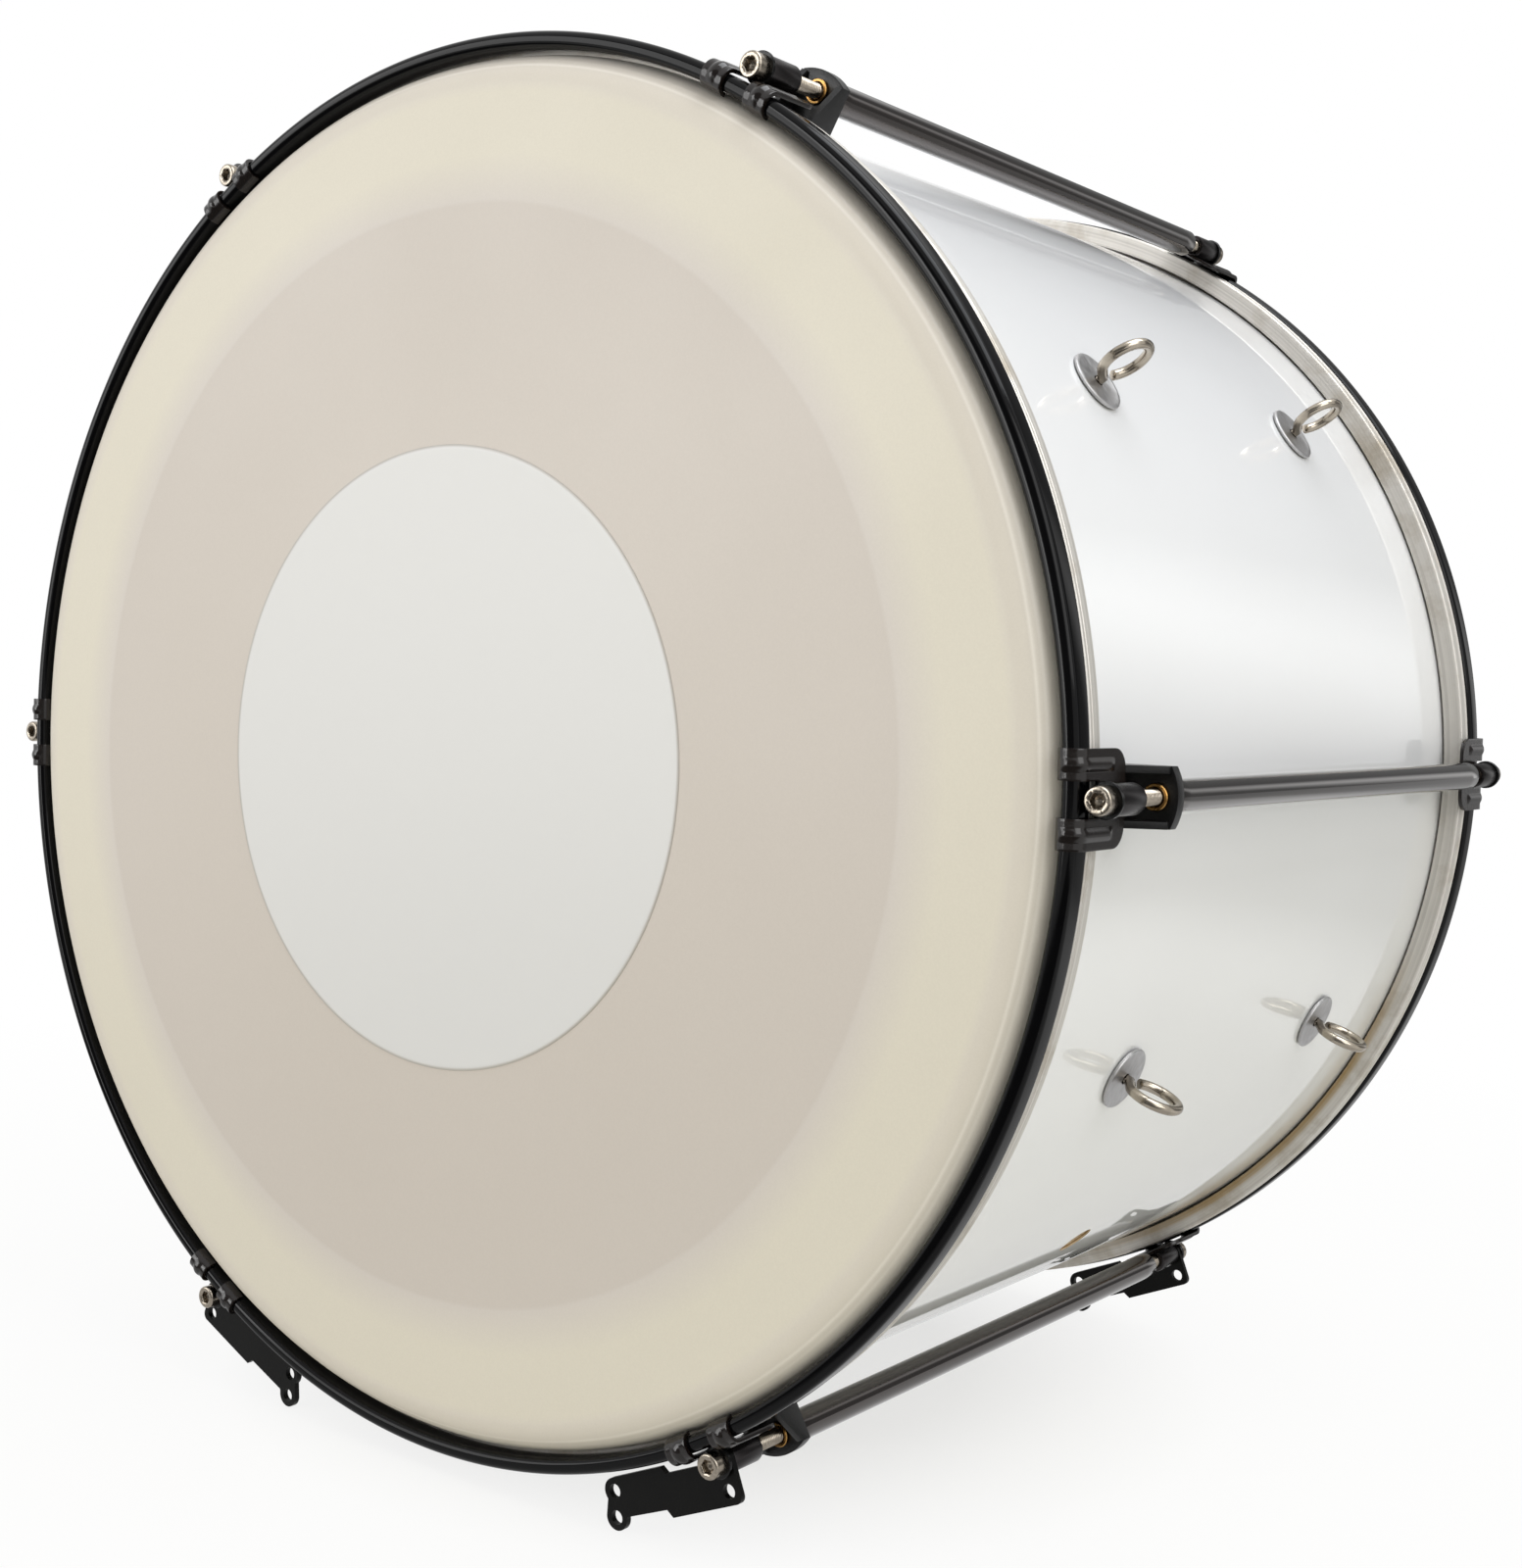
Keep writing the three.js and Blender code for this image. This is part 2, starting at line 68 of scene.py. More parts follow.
def station(angle, end="rear"):
    """The directions r, s, u at a lug: r points out at the angle, s out of the end, u = r x s."""
    turn = np.radians(angle)
    outward = np.array([np.cos(turn), 0, np.sin(turn)])
    endward = np.array([0, 1.0 if end == "rear" else -1.0, 0])
    return np.stack([outward, endward, np.cross(outward, endward)])


def place(points, directions):
    """Turns (r, s, u) lengths in millimetres into points of the scene, in metres."""
    return np.asarray(points) @ directions * MM + np.array([0, 0, AXIS_HEIGHT])


print("axis height", round(AXIS_HEIGHT * 1000, 2), "mm")

# %% [markdown]
# ## From arrays to meshes
# Every new piece is a grid of points. These helpers join a grid's points into quads, merge
# the points that fall together at a pole or a seam, and turn all faces outwards. A closed
# surface has a positive volume only if its faces point out, so its sign is the test.

# %% Mesh helpers
def grid_quads(rows, columns, wrap_rows=False, wrap_columns=False):
    """Quads between neighbours of a rows x columns grid whose points are listed row by row."""
    row = np.arange(rows if wrap_rows else rows - 1)
    column = np.arange(columns if wrap_columns else columns - 1)
    i, j = (a.ravel() for a in np.meshgrid(row, column, indexing="ij"))
    i2, j2 = (i + 1) % rows, (j + 1) % columns
    return np.stack([i * columns + j, i2 * columns + j, i2 * columns + j2, i * columns + j2], -1)


def outward_volume(points, quads):
    """Six times the volume inside: the sum of a . (b x c) over both triangles of each quad."""
    a, b, c, d = (points[quads[:, k]] for k in range(4))
    return np.sum(a * np.cross(b, c)) + np.sum(a * np.cross(c, d))


def raw_mesh(name, points, quads):
    """A mesh with merged seams and poles. The merge distance follows the size of the numbers."""
    points, quads = np.asarray(points, float), np.asarray(quads)
    if outward_volume(points - points.mean(0), quads) < 0:
        quads = quads[:, ::-1]
    mesh = bpy.data.meshes.new(name)
    mesh.from_pydata(points.tolist(), [], quads.tolist())
    work = bmesh.new()
    work.from_mesh(mesh)
    bmesh.ops.remove_doubles(work, verts=work.verts, dist=1e-6 * max(1.0, np.abs(points).max()))
    work.to_mesh(mesh)
    work.free()
    mesh.update()
    return mesh


def faces_out(mesh):
    """Turns the faces of a closed mesh outwards, and counts the edges that don't join two faces."""
    work = bmesh.new()
    work.from_mesh(mesh)
    bmesh.ops.recalc_face_normals(work, faces=work.faces)
    open_edges = sum(1 for edge in work.edges if len(edge.link_faces) != 2)
    work.to_mesh(mesh)
    work.free()
    return open_edges


def joined(*parts):
    """Several (points, quads) pairs as one pair."""
    starts = np.cumsum([0] + [len(points) for points, _ in parts[:-1]])
    quads = [quads + start for (_, quads), start in zip(parts, starts)]
    return np.concatenate([points for points, _ in parts]), np.concatenate(quads)


print("mesh helpers ready")

# %% [markdown]
# ### From meshes to pieces
# A piece needs more than its points: modifiers that thicken it or round its edges, a
# finish, smooth shading up to a crease, and the body it rides on. Modifiers are applied on
# a spare object, so that what is kept is plain mesh. A master is stamped at many places by
# putting each place into the copy's own points, which leaves its object at the origin.

# %% Piece helpers
def carved(mesh, *modifiers):
    """The mesh with modifiers applied: each is a (type, settings) pair, in order."""
    worker = bpy.data.objects.new("worker", mesh)
    bpy.context.scene.collection.objects.link(worker)
    for kind, settings in modifiers:
        modifier = worker.modifiers.new(kind.lower(), kind)
        for key, value in settings.items():
            setattr(modifier, key, value)
    bpy.context.view_layer.update()
    result = bpy.data.meshes.new_from_object(worker.evaluated_get(bpy.context.evaluated_depsgraph_get()))
    bpy.data.objects.remove(worker)
    return result


def rounded_edges(width, segments, angle):
    """A bevel for all edges sharper than an angle in degrees."""
    return ("BEVEL", {"width": width, "segments": segments, "limit_method": "ANGLE",
                      "angle_limit": np.radians(angle), "harden_normals": False})


def finished(name, mesh, material, body, slot, stands_for=(), crease=35):
    """Makes the mesh a piece that rides on a body and stands for the named CAD nodes."""
    mesh.name = name
    mesh.materials.clear()
    mesh.materials.append(material)
    mesh.shade_smooth()
    mesh.set_sharp_from_angle(angle=np.radians(crease))
    piece = bpy.data.objects.new(name, mesh)
    bpy.context.scene.collection.objects.link(piece)
    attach(piece, body)
    if stands_for:
        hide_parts(*stands_for)
    return piece


def stamped(name, master, directions, *rest, **more):
    """A copy of a master mesh, which is in (r, s, u) millimetres, put down at a station."""
    mesh = master.copy()
    points = np.empty(len(mesh.vertices) * 3)
    mesh.vertices.foreach_get("co", points)
    mesh.vertices.foreach_set("co", place(points.reshape(-1, 3), directions).ravel())
    mesh.update()
    return finished(name, mesh, *rest, **more)


print("piece helpers ready")

# %% [markdown]
# ## Turned pieces
# Hoops, heads, tubes and washers are lathe work: a profile of (radius, height) points is
# carried once round an axis. A screw is lathe work too, if its radius may change with the
# angle: towards a hexagon in its socket, and in a rising wave along its thread.

# %% Lathe helpers
def drum_ring(profile, steps=360, closed=True):
    """Point(i, j) = (R_j cos a_i, H_j, R_j sin a_i) about the drum's own axis. The profile is
    closed on itself, or has both its ends on the axis."""
    profile = np.asarray(profile, float)
    turn = np.linspace(0, 2 * np.pi, steps, endpoint=False)[:, None]
    radius, height = profile[:, 0], profile[:, 1]
    points = np.stack([radius * np.cos(turn), height + 0 * turn, radius * np.sin(turn)], -1)
    return points.reshape(-1, 3), grid_quads(steps, len(profile), True, closed)


def drum_mesh(name, points, quads):
    """A mesh of points in millimetres about the drum's axis, scaled and lifted to its height."""
    return raw_mesh(name, points * MM + np.array([0, 0, AXIS_HEIGHT]), quads)


def turned(rows, steps, hexagon=None, wave=None):
    """Lathe work about a pin's axis, in (r, s, u). hexagon and wave give each row a share of
    the six-sided radius, and a depth of thread that rises once round for each pitch."""
    rows = np.asarray(rows, float)
    turn = np.linspace(0, 2 * np.pi, steps, endpoint=False)[:, None]
    radius = rows[:, 0] + 0 * turn
    if hexagon is not None:
        corner = np.cos(np.pi / 6) / np.cos((turn % (np.pi / 3)) - np.pi / 6)
        radius = radius * (1 + np.asarray(hexagon) * (corner - 1))
    if wave is not None:
        depth, pitch = wave
        phase = rows[:, 1] / pitch - turn / (2 * np.pi)
        radius = radius - np.asarray(depth) * (0.5 - 0.5 * np.cos(2 * np.pi * phase))
    points = np.stack([radius * np.cos(turn), rows[:, 1] + 0 * turn, radius * np.sin(turn)], -1)
    return points.reshape(-1, 3), grid_quads(steps, len(rows), True, False)


print("lathe helpers ready")

# %% [markdown]
# ### Drawing a profile
# A profile's straight runs need only their end points, and an arc fills in a rounded
# corner. Both ends of the drum share each profile. It is drawn once, for the rear, and
# flipped along the axis for the front, so the two ends can't drift apart.

# %% Profile helpers
def arc(centre, radius, start, stop, steps):
    """Points (r, s) along an arc, from one angle to another in degrees."""
    turn = np.radians(np.linspace(start, stop, steps + 1))
    return [(centre[0] + radius * np.cos(t), centre[1] + radius * np.sin(t)) for t in turn]


def flipped(profile, end):
    """A profile for the rear end as it is, or turned to the front end."""
    sign = 1 if end == "rear" else -1
    return [(radius, sign * height) for radius, height in profile]


def moved(points, r=0, s=0):
    """Points shifted out from the axis by r and along it by s."""
    return np.asarray(points) + np.array([r, s, 0])


print("a quarter of a circle of 10 mm:", np.round(arc((0, 0), 10, 0, 90, 3), 1).tolist())

# %% [markdown]
# ## Finishes
# A finish is a small graph of nodes. Written out in full, each node takes the same few
# lines. This helper does what every graph needs: it adds a node, sets its inputs by name,
# and joins it to others wherever a socket is given instead of a number.

# %% Node graph
class Graph:
    """A material with its nodes and links, and the shader that everything feeds."""

    def __init__(self, name):
        self.material = bpy.data.materials.new(name)
        self.material.use_nodes = True
        self.nodes = self.material.node_tree.nodes
        self.links = self.material.node_tree.links
        self.shader = self.nodes["Principled BSDF"]

    def join(self, value, socket):
        """Feeds a socket from another socket, from a node's first output, or with a constant."""
        if isinstance(value, bpy.types.NodeSocket):
            self.links.new(value, socket)
        elif isinstance(value, bpy.types.Node):
            self.links.new(value.outputs[0], socket)
        else:
            socket.default_value = value

    def node(self, kind, inputs=(), **settings):
        """A new shader node of one kind, with its settings and then its inputs filled in."""
        node = self.nodes.new("ShaderNode" + kind)
        for key, value in settings.items():
            setattr(node, key, value)
        for key, value in dict(inputs).items():
            self.join(value, node.inputs[key])
        return node

    def maths(self, operation, *values, clamp=False):
        """One operation on numbers or sockets. With clamp the result stays within 0 and 1."""
        node = self.node("Math", enumerate(values), operation=operation, use_clamp=clamp)
        return node.outputs[0]


print("graph helper ready")

# %% [markdown]
# ### Patterns on a finish
# Object coordinates are the piece's own place in metres, so a scratch or a stain stays
# where it is when the drum moves. Noise gives clouds and streaks, a span picks out the
# part that matters, and ramps and blends make it a colour. A picture could be wrapped
# round the drum instead, but it has seams, and it blurs when the camera comes near.

# %% Finish helper
class Finish(Graph):
    """A material under construction: lay patterns, then close it with the surface shader."""

    def place(self):
        """Object coordinates: the point's own place in metres."""
        return self.node("TexCoord").outputs["Object"]

    def noise(self, where, scale, detail=4, roughness=0.55, stretch=None):
        """Clouds between 0 and 1, about scale of them to a metre. A stretch below 1 along an axis
        draws them out that way."""
        if stretch is not None:
            where = self.node("Mapping", {"Vector": where, "Scale": stretch}).outputs[0]
        inputs = {"Vector": where, "Scale": scale, "Detail": detail, "Roughness": roughness}
        return self.node("TexNoise", inputs).outputs["Fac"]

    def ramp(self, value, stops):
        """Reads a colour off a scale. Each stop is a place from 0 to 1 and its colour."""
        node = self.node("ValToRGB", {"Fac": value})
        stops = [(at, colour if len(colour) == 4 else (*colour, 1)) for at, colour in stops]
        while len(node.color_ramp.elements) < len(stops):
            node.color_ramp.elements.new(0.5)
        for element, (at, colour) in zip(node.color_ramp.elements, stops):
            element.position, element.color = at, colour
        return node.outputs[0]

    def span(self, value, low, high, to_low=0.0, to_high=1.0):
        """Carries the range from low to high over to another range, and stops at its ends."""
        inputs = {"Value": value, "From Min": low, "From Max": high, "To Min": to_low, "To Max": to_high}
        return self.node("MapRange", inputs).outputs[0]

    def blend(self, share, first, second):
        """The first colour at share 0, the second at share 1, and a mixture between them."""
        node = self.node("Mix", data_type="RGBA")
        for index, value in ((0, share), (6, first), (7, second)):
            self.join(value, node.inputs[index])
        return node.outputs[2]

    def polar(self):
        """Distance from the drum's axis in metres, angle about it, and height along it."""
        split = self.node("SeparateXYZ", {"Vector": self.place()})
        up = self.maths("SUBTRACT", split.outputs[2], AXIS_HEIGHT)
        square = self.maths("ADD", self.maths("POWER", split.outputs[0], 2), self.maths("POWER", up, 2))
        angle = self.maths("ARCTAN2", up, split.outputs[0])
        return self.maths("SQRT", square), angle, split.outputs[1]

    def relief(self, height, strength, distance):
        """Tilts the shading as if the surface rose by the height times the distance."""
        inputs = {"Height": height, "Strength": strength, "Distance": distance}
        self.join(self.node("Bump", inputs).outputs[0], self.shader.inputs["Normal"])

    def surface(self, **inputs):
        """Fills the shader's inputs, whose names have _ for each space, and gives the material."""
        for key, value in inputs.items():
            self.join(value, self.shader.inputs[key.replace("_", " ")])
        return self.material


print("finish helper ready")

# %% [markdown]
# ### Colours
# A colour on a screen is stored in steps that look even to the eye. A shader counts light,
# in which the middle grey of a screen is only about a fifth of white. The colours of this
# lesson are written as they look, and one function turns them into light.

# %% Colour helper
def rgb(red, green, blue):
    """A colour as seen on a screen, 0 to 255, as the linear values that a shader takes."""
    value = np.array([red, green, blue]) / 255
    linear = np.where(value <= 0.04045, value / 12.92, ((value + 0.055) / 1.055) ** 2.4)
    return (*(float(v) for v in linear), 1.0)


print("middle grey as light:", round(rgb(128, 128, 128)[0], 3))

# %% [markdown]
# ### White lacquer
# The shell is plywood under polished white lacquer. A clear coat over a soft white base
# gives the mirror-like gloss. Lacquer is never quite flat, so a wide, very low ripple bends
# the reflections a little, and faint cloudy tones keep the white from being one flat colour.

# %% Shell lacquer and bare wood
PLY_WAVES = 5200.0


def make_lacquer():
    """White base under a clear coat, with dust in its roughness and a ripple in its normal."""
    finish = Finish("shell_lacquer")
    where = finish.place()
    cloud = finish.noise(where, 3.0, detail=3)
    colour = finish.ramp(cloud, [(0.35, rgb(236, 236, 236)), (0.7, rgb(241, 241, 242))])
    ripple = finish.noise(where, 14.0, detail=2)
    finish.relief(ripple, 0.05, 0.002)
    dust = finish.noise(where, 420.0, detail=2)
    return finish.surface(
        Base_Color=colour, Roughness=finish.span(dust, 0.3, 0.8, 0.28, 0.4),
        Coat_Weight=1.0, Coat_Roughness=0.03, Coat_IOR=1.5)


def make_bare_wood():
    """Ply edges: pale and amber rings, as the sine of the distance from the axis x PLY_WAVES."""
    finish = Finish("bare_wood")
    radius = finish.polar()[0]
    plies = finish.maths("SINE", finish.maths("MULTIPLY", radius, PLY_WAVES))
    fibre = finish.noise(finish.place(), 900.0, stretch=(1, 0.2, 1))
    mix = finish.maths("ADD", finish.maths("MULTIPLY", plies, 0.35), fibre)
    colour = finish.ramp(mix, [
        (0.2, rgb(160, 122, 78)), (0.55, rgb(216, 184, 140)), (0.9, rgb(238, 218, 184))])
    finish.relief(fibre, 0.3, 0.0003)
    return finish.surface(Base_Color=colour, Roughness=0.6)


lacquer, bare_wood = make_lacquer(), make_bare_wood()
print("shell finishes: lacquer and wood")

# %% [markdown]
# ### Drumhead film
# The film is cream. A ring of thin foam behind its outer part makes that part look warmer
# and lighter, and the middle a little darker and pinker, with a soft step between the two.
# The zones follow the distance from the axis, so they could be separate pieces, but one
# film has no seams. Fine grain and low waves break up the sheen. Near the rim, a darker,
# pinker band is painted shade, and two thin light lines and a brighter collar by the hoop
# are painted highlights.

# %% Head and dot films
STEP_RADIUS = 0.224
SHADE_BAND_START, SHADE_BAND_END = 0.2665, 0.2705
HIGHLIGHT_LINES_START, HIGHLIGHT_LINES_END = 0.272, 0.282
RIM_START, RIM_END = 0.1262, 0.1272


def make_head_film():
    """Zones by the distance from the axis plus a small wander, so that no step is a perfect ring."""
    finish = Finish("head_film")
    radius = finish.polar()[0]
    wander = finish.noise(finish.place(), 9.0, detail=2)
    edge = finish.maths("ADD", radius, finish.maths("MULTIPLY", wander, 0.002))
    share = finish.span(edge, STEP_RADIUS - 0.0004, STEP_RADIUS + 0.0012)
    halo = finish.span(edge, STEP_RADIUS + 0.001, STEP_RADIUS + 0.019)
    outer = finish.blend(halo, rgb(216, 208, 200), rgb(226, 219, 203))
    colour = finish.blend(share, rgb(211, 202, 193), outer)
    # painted shade: a darker, pinker band from where the film starts to bend out to its rim
    bend = finish.span(edge, SHADE_BAND_START, SHADE_BAND_END, 0.0, 0.6)
    colour = finish.blend(bend, colour, rgb(219, 211, 201))
    # painted highlights: two thin light lines near the rim, then painted light that brightens the shaded
    # collar by the hoop
    crease = finish.ramp(finish.span(radius, HIGHLIGHT_LINES_START, HIGHLIGHT_LINES_END), [
        (0.0, (0, 0, 0)), (0.32, (0, 0, 0)), (0.4, (0.5, 0.5, 0.5)), (0.48, (0.05, 0.05, 0.05)),
        (0.54, (0.05, 0.05, 0.05)), (0.61, (0.45, 0.45, 0.45)), (0.68, (0.3, 0.3, 0.3)), (1.0, (1, 1, 1))])
    colour = finish.blend(crease, colour, rgb(252, 246, 237))
    grain = finish.noise(finish.place(), 1400.0, detail=2)
    colour = finish.blend(finish.span(grain, 0.3, 0.7, 0.0, 0.05), colour, rgb(150, 140, 128))
    finish.relief(grain, 0.06, 0.0002)
    return finish.surface(Base_Color=colour, Roughness=finish.span(wander, 0.3, 0.7, 0.36, 0.44),
                          Specular_IOR_Level=0.4)


def make_dot_film():
    """A plain pale disc with a thin darker rim at its edge."""
    finish = Finish("dot_film")
    radius = finish.polar()[0]
    rim = finish.span(radius, RIM_START, RIM_END)
    colour = finish.blend(rim, rgb(224, 223, 222), rgb(188, 182, 176))
    grain = finish.noise(finish.place(), 1400.0, detail=2)
    finish.relief(grain, 0.05, 0.0002)
    return finish.surface(Base_Color=colour, Roughness=finish.span(grain, 0.3, 0.7, 0.34, 0.42))


head_film = make_head_film()
dot_film = make_dot_film()
print("films: head and dot")

# %% [markdown]
# ### Black enamels
# Five kinds of piece are black, and no two alike: the hoop is deep and glossy, the claws
# have a brown cast and a slight orange peel, the brackets and foot plates are satin powder
# coat, and the screws' washers lie between. On black, the eye reads the sheen and hardly
# the colour, so one function makes all five, and they differ mostly in roughness and gloss.

# %% Black finishes
def make_black(name, colour, roughness, peel, peel_scale, gloss=0.25):
    """Black paint: smudges move its tone and roughness together, and peel is its bumpiness."""
    finish = Finish(name)
    where = finish.place()
    bumps = finish.noise(where, peel_scale, detail=2)
    smudge = finish.noise(where, 55.0, detail=4)
    tone = finish.ramp(smudge, [(0.3, colour), (0.75, tuple(min(1, c * 1.5) for c in colour[:3]))])
    finish.relief(bumps, peel, 0.0003)
    return finish.surface(
        Base_Color=tone, Specular_IOR_Level=gloss,
        Roughness=finish.span(smudge, 0.3, 0.75, roughness * 0.85, roughness * 1.2))


hoop_black = make_black("hoop_enamel", rgb(4, 4, 5), 0.1, 0.02, 500.0, gloss=0.15)
claw_black = make_black("claw_enamel", rgb(19, 14, 12), 0.17, 0.1, 900.0, gloss=0.45)
bracket_black = make_black("bracket_enamel", rgb(6, 6, 6), 0.34, 0.3, 1600.0, gloss=0.45)
foot_black = make_black("foot_enamel", rgb(6, 6, 5), 0.36, 0.3, 1800.0, gloss=0.12)
washer_black = make_black("screw_washer_black", rgb(10, 10, 10), 0.2, 0.08, 900.0)
print("black finishes: 5")

# %% [markdown]
# ### The flesh hoop's metal
# Bare metals are told apart by their tint, their roughness and the direction of their
# marks. The flesh hoop is rolled, so its streaks run round the drum. No straight stretch
# of a noise can do that, so the noise is fed with the angle, and with a much finer radius
# and height.

# %% Flesh hoop metal
BROWN_TURN = 0.75
BROWN_INNER, BROWN_OUTER = 0.2818, 0.2836


def make_flesh_metal():
    """Rolled aluminium: fine streaks by radius and height, grey stains, and one brown length on
    the ring's inner edge, where the cosine of (angle + BROWN_TURN) is nearly 1."""
    finish = Finish("flesh_hoop_metal")
    radius, angle, height = finish.polar()
    around = finish.node("CombineXYZ", {"X": finish.maths("MULTIPLY", angle, 0.6),
                                        "Y": finish.maths("MULTIPLY", height, 900.0),
                                        "Z": finish.maths("MULTIPLY", radius, 900.0)}).outputs[0]
    streak = finish.noise(around, 1.0, detail=6, roughness=0.7)
    stain = finish.noise(finish.place(), 26.0, detail=6, roughness=0.65)
    length = finish.maths("COSINE", finish.maths("ADD", angle, BROWN_TURN))
    inner = finish.span(radius, BROWN_OUTER, BROWN_INNER)
    metal = finish.ramp(streak, [(0.3, rgb(188, 184, 177)), (0.7, rgb(226, 222, 215))])
    colour = finish.blend(finish.span(stain, 0.5, 0.7, 0.0, 0.65), metal, rgb(150, 136, 112))
    brown = finish.maths("MULTIPLY", finish.span(length, 0.9, 0.98), inner)
    brown = finish.maths("MULTIPLY", brown, finish.span(streak, 0.3, 0.6, 0.4, 0.9))
    colour = finish.blend(brown, colour, rgb(158, 128, 70))
    finish.relief(streak, 0.15, 0.0002)
    rough = finish.span(stain, 0.3, 0.7, 0.5, 0.62)
    return finish.surface(Base_Color=colour, Metallic=0.7, Roughness=rough)


flesh_metal = make_flesh_metal()
print("flesh hoop: brown about", round(np.degrees(-BROWN_TURN)), "degrees round the axis")

# %% [markdown]
# ### Streaked metals
# The tubes were drawn, so their marks run along them. The other small pieces have shorter
# marks, or even ones. Stretching a noise in one direction makes them all. One function
# serves six metals, which differ in tint, roughness, stretch and coat.

# %% Metal finishes
def make_metal(name, dark, light, roughness, scale, stretch, relief=0.05, coat=0.0):
    """Bare metal with streaks between two tones, drawn out along one direction by stretch."""
    finish = Finish(name)
    where = finish.place()
    streak = finish.noise(where, scale, detail=5, stretch=stretch)
    haze = finish.noise(where, 60.0, detail=3)
    colour = finish.ramp(streak, [(0.3, dark), (0.7, light)])
    mixed = finish.maths("ADD", finish.maths("MULTIPLY", streak, 0.6), finish.maths("MULTIPLY", haze, 0.4))
    finish.relief(streak, relief, 0.0002)
    return finish.surface(
        Base_Color=colour, Metallic=1.0, Coat_Weight=coat, Coat_Roughness=0.05,
        Roughness=finish.span(mixed, 0.3, 0.7, roughness * 0.8, roughness * 1.25))


screw_steel = make_metal("screw_steel", rgb(142, 133, 120), rgb(172, 163, 150), 0.24, 900.0, (1, 0.6, 1))
tube_plate = make_metal(
    "tube_plating", rgb(58, 53, 51), rgb(80, 73, 69), 0.15, 700.0, (1, 0.01, 1), 0.02, coat=1.0)
barrel_plate = make_metal("barrel_plating", rgb(48, 46, 46), rgb(60, 57, 57), 0.28, 500.0, (1, 0.1, 1))
nickel = make_metal("eyebolt_nickel", rgb(152, 143, 129), rgb(180, 171, 157), 0.18, 120.0, (1, 1, 1), 0.01)
washer_steel = make_metal("washer_steel", rgb(172, 171, 170), rgb(196, 195, 195), 0.42, 500.0, (1, 1, 0.3))
brass = make_metal("insert_brass", rgb(150, 112, 58), rgb(186, 146, 90), 0.28, 700.0, (1, 0.3, 1))
print("finishes:", len(bpy.data.materials))

# %% [markdown]
# ## The shell
# A drum shell is a ply tube whose ends are cut to a rounded bearing edge. The wall here is
# a profile carried round the axis. A hole in such a grid is made without a boolean: the
# square of cells around it is left out, and rings of quads lead from the square to the
# circle. All new points lie on the same cylinder, so the gloss stays smooth around the hole.

# %% Rows and holes of the wall
SHELL_STEPS = 720
WALL = 6.0
EDGE_CENTRE = np.array((268.0, 185.7))
EDGE_RADIUS = 13.3
SHELL_STRAIGHT = 193.5
EYE_SPACING = 183.0
LONG_RUN, LONG_ROWS = 20.0, 6
HOLES = [(-46.5, 0.0, 8.0, 4)]
HOLES += [(angle, y, 2.3, 2) for angle in (32.5, -23.0) for y in (-EYE_SPACING / 2, EYE_SPACING / 2)]
CELL = 2 * np.pi * SHELL_RADIUS / SHELL_STEPS


def wall_heights():
    """Heights of the wall's rows: evenly spaced, with rows that fall on each hole's square."""
    marks = {-SHELL_STRAIGHT, SHELL_STRAIGHT}
    rows = []
    for _, y, _, half in HOLES:
        marks |= {y - half * CELL, y + half * CELL}
    marks = sorted({round(mark, 4) for mark in marks})
    for low, high in zip(marks[:-1], marks[1:]):
        count = max(2, int(round((high - low) / CELL))) if high - low < LONG_RUN else LONG_ROWS
        rows += list(np.linspace(low, high, count, endpoint=False))
    return np.array(rows + [SHELL_STRAIGHT])


def hole_patch(radius, angle, y, hole, half):
    """Rings from a square of cells to a circle: P(a, t) = circle(a) + t (square(a) - circle(a)),
    laid on the cylinder by turning sideways distance x into the angle asin(x / radius)."""
    step = np.linspace(-1, 1, 2 * half + 1)[:-1]
    side = np.stack([step, -np.ones_like(step)], -1)
    turns = [np.array([[1, 0], [0, 1]]), np.array([[0, 1], [-1, 0]]),
             np.array([[-1, 0], [0, -1]]), np.array([[0, -1], [1, 0]])]
    square = np.concatenate([side @ turn for turn in turns])
    flat = square * np.array([np.pi / SHELL_STEPS * 2 * half, half * CELL])
    sideways = np.stack([radius * np.sin(flat[:, 0]), flat[:, 1]], -1)
    circle = hole * sideways / np.linalg.norm(sideways, axis=1, keepdims=True)
    share = np.linspace(0, 1, 5)[:, None, None] ** 1.4
    across = circle + share * (sideways - circle)
    turn = np.radians(angle) + np.arcsin(across[..., 0] / radius)
    return np.stack([radius * np.cos(turn), across[..., 1] + y, radius * np.sin(turn)], -1)


print("holes in the shell:", len(HOLES))

# %% [markdown]
# ### Put the wall together
# The profile runs up the outside, over one bearing edge, down the inside and back over the
# other edge. The grid's squares at the holes are left out and the rings of quads go in,
# outside and inside, with a bore between them. A boolean could cut the holes too, but it
# leaves long thin faces that show in a glossy coat. A closed wall has no open edges.

# %% Shell wall
heights = wall_heights()
inner_radius = SHELL_RADIUS - WALL
edge_cosines = (np.array([SHELL_RADIUS, inner_radius]) - EDGE_CENTRE[0]) / EDGE_RADIUS
outer_turn, inner_turn = np.degrees(np.arccos(edge_cosines))
edge = arc(EDGE_CENTRE, EDGE_RADIUS, outer_turn, inner_turn, 8)
profile = [(SHELL_RADIUS, s) for s in heights] + edge
profile += [(inner_radius, s) for s in heights[::-1]]
profile += [(radius, -s) for radius, s in edge[::-1]]
wall_points, wall_quads = drum_ring(profile, SHELL_STEPS)
columns = len(profile)
turn_of = (wall_quads[:, 0] // columns + 0.5) * 360 / SHELL_STEPS
middle = wall_points[wall_quads].mean(1)
parts = []
keep = np.ones(len(wall_quads), bool)
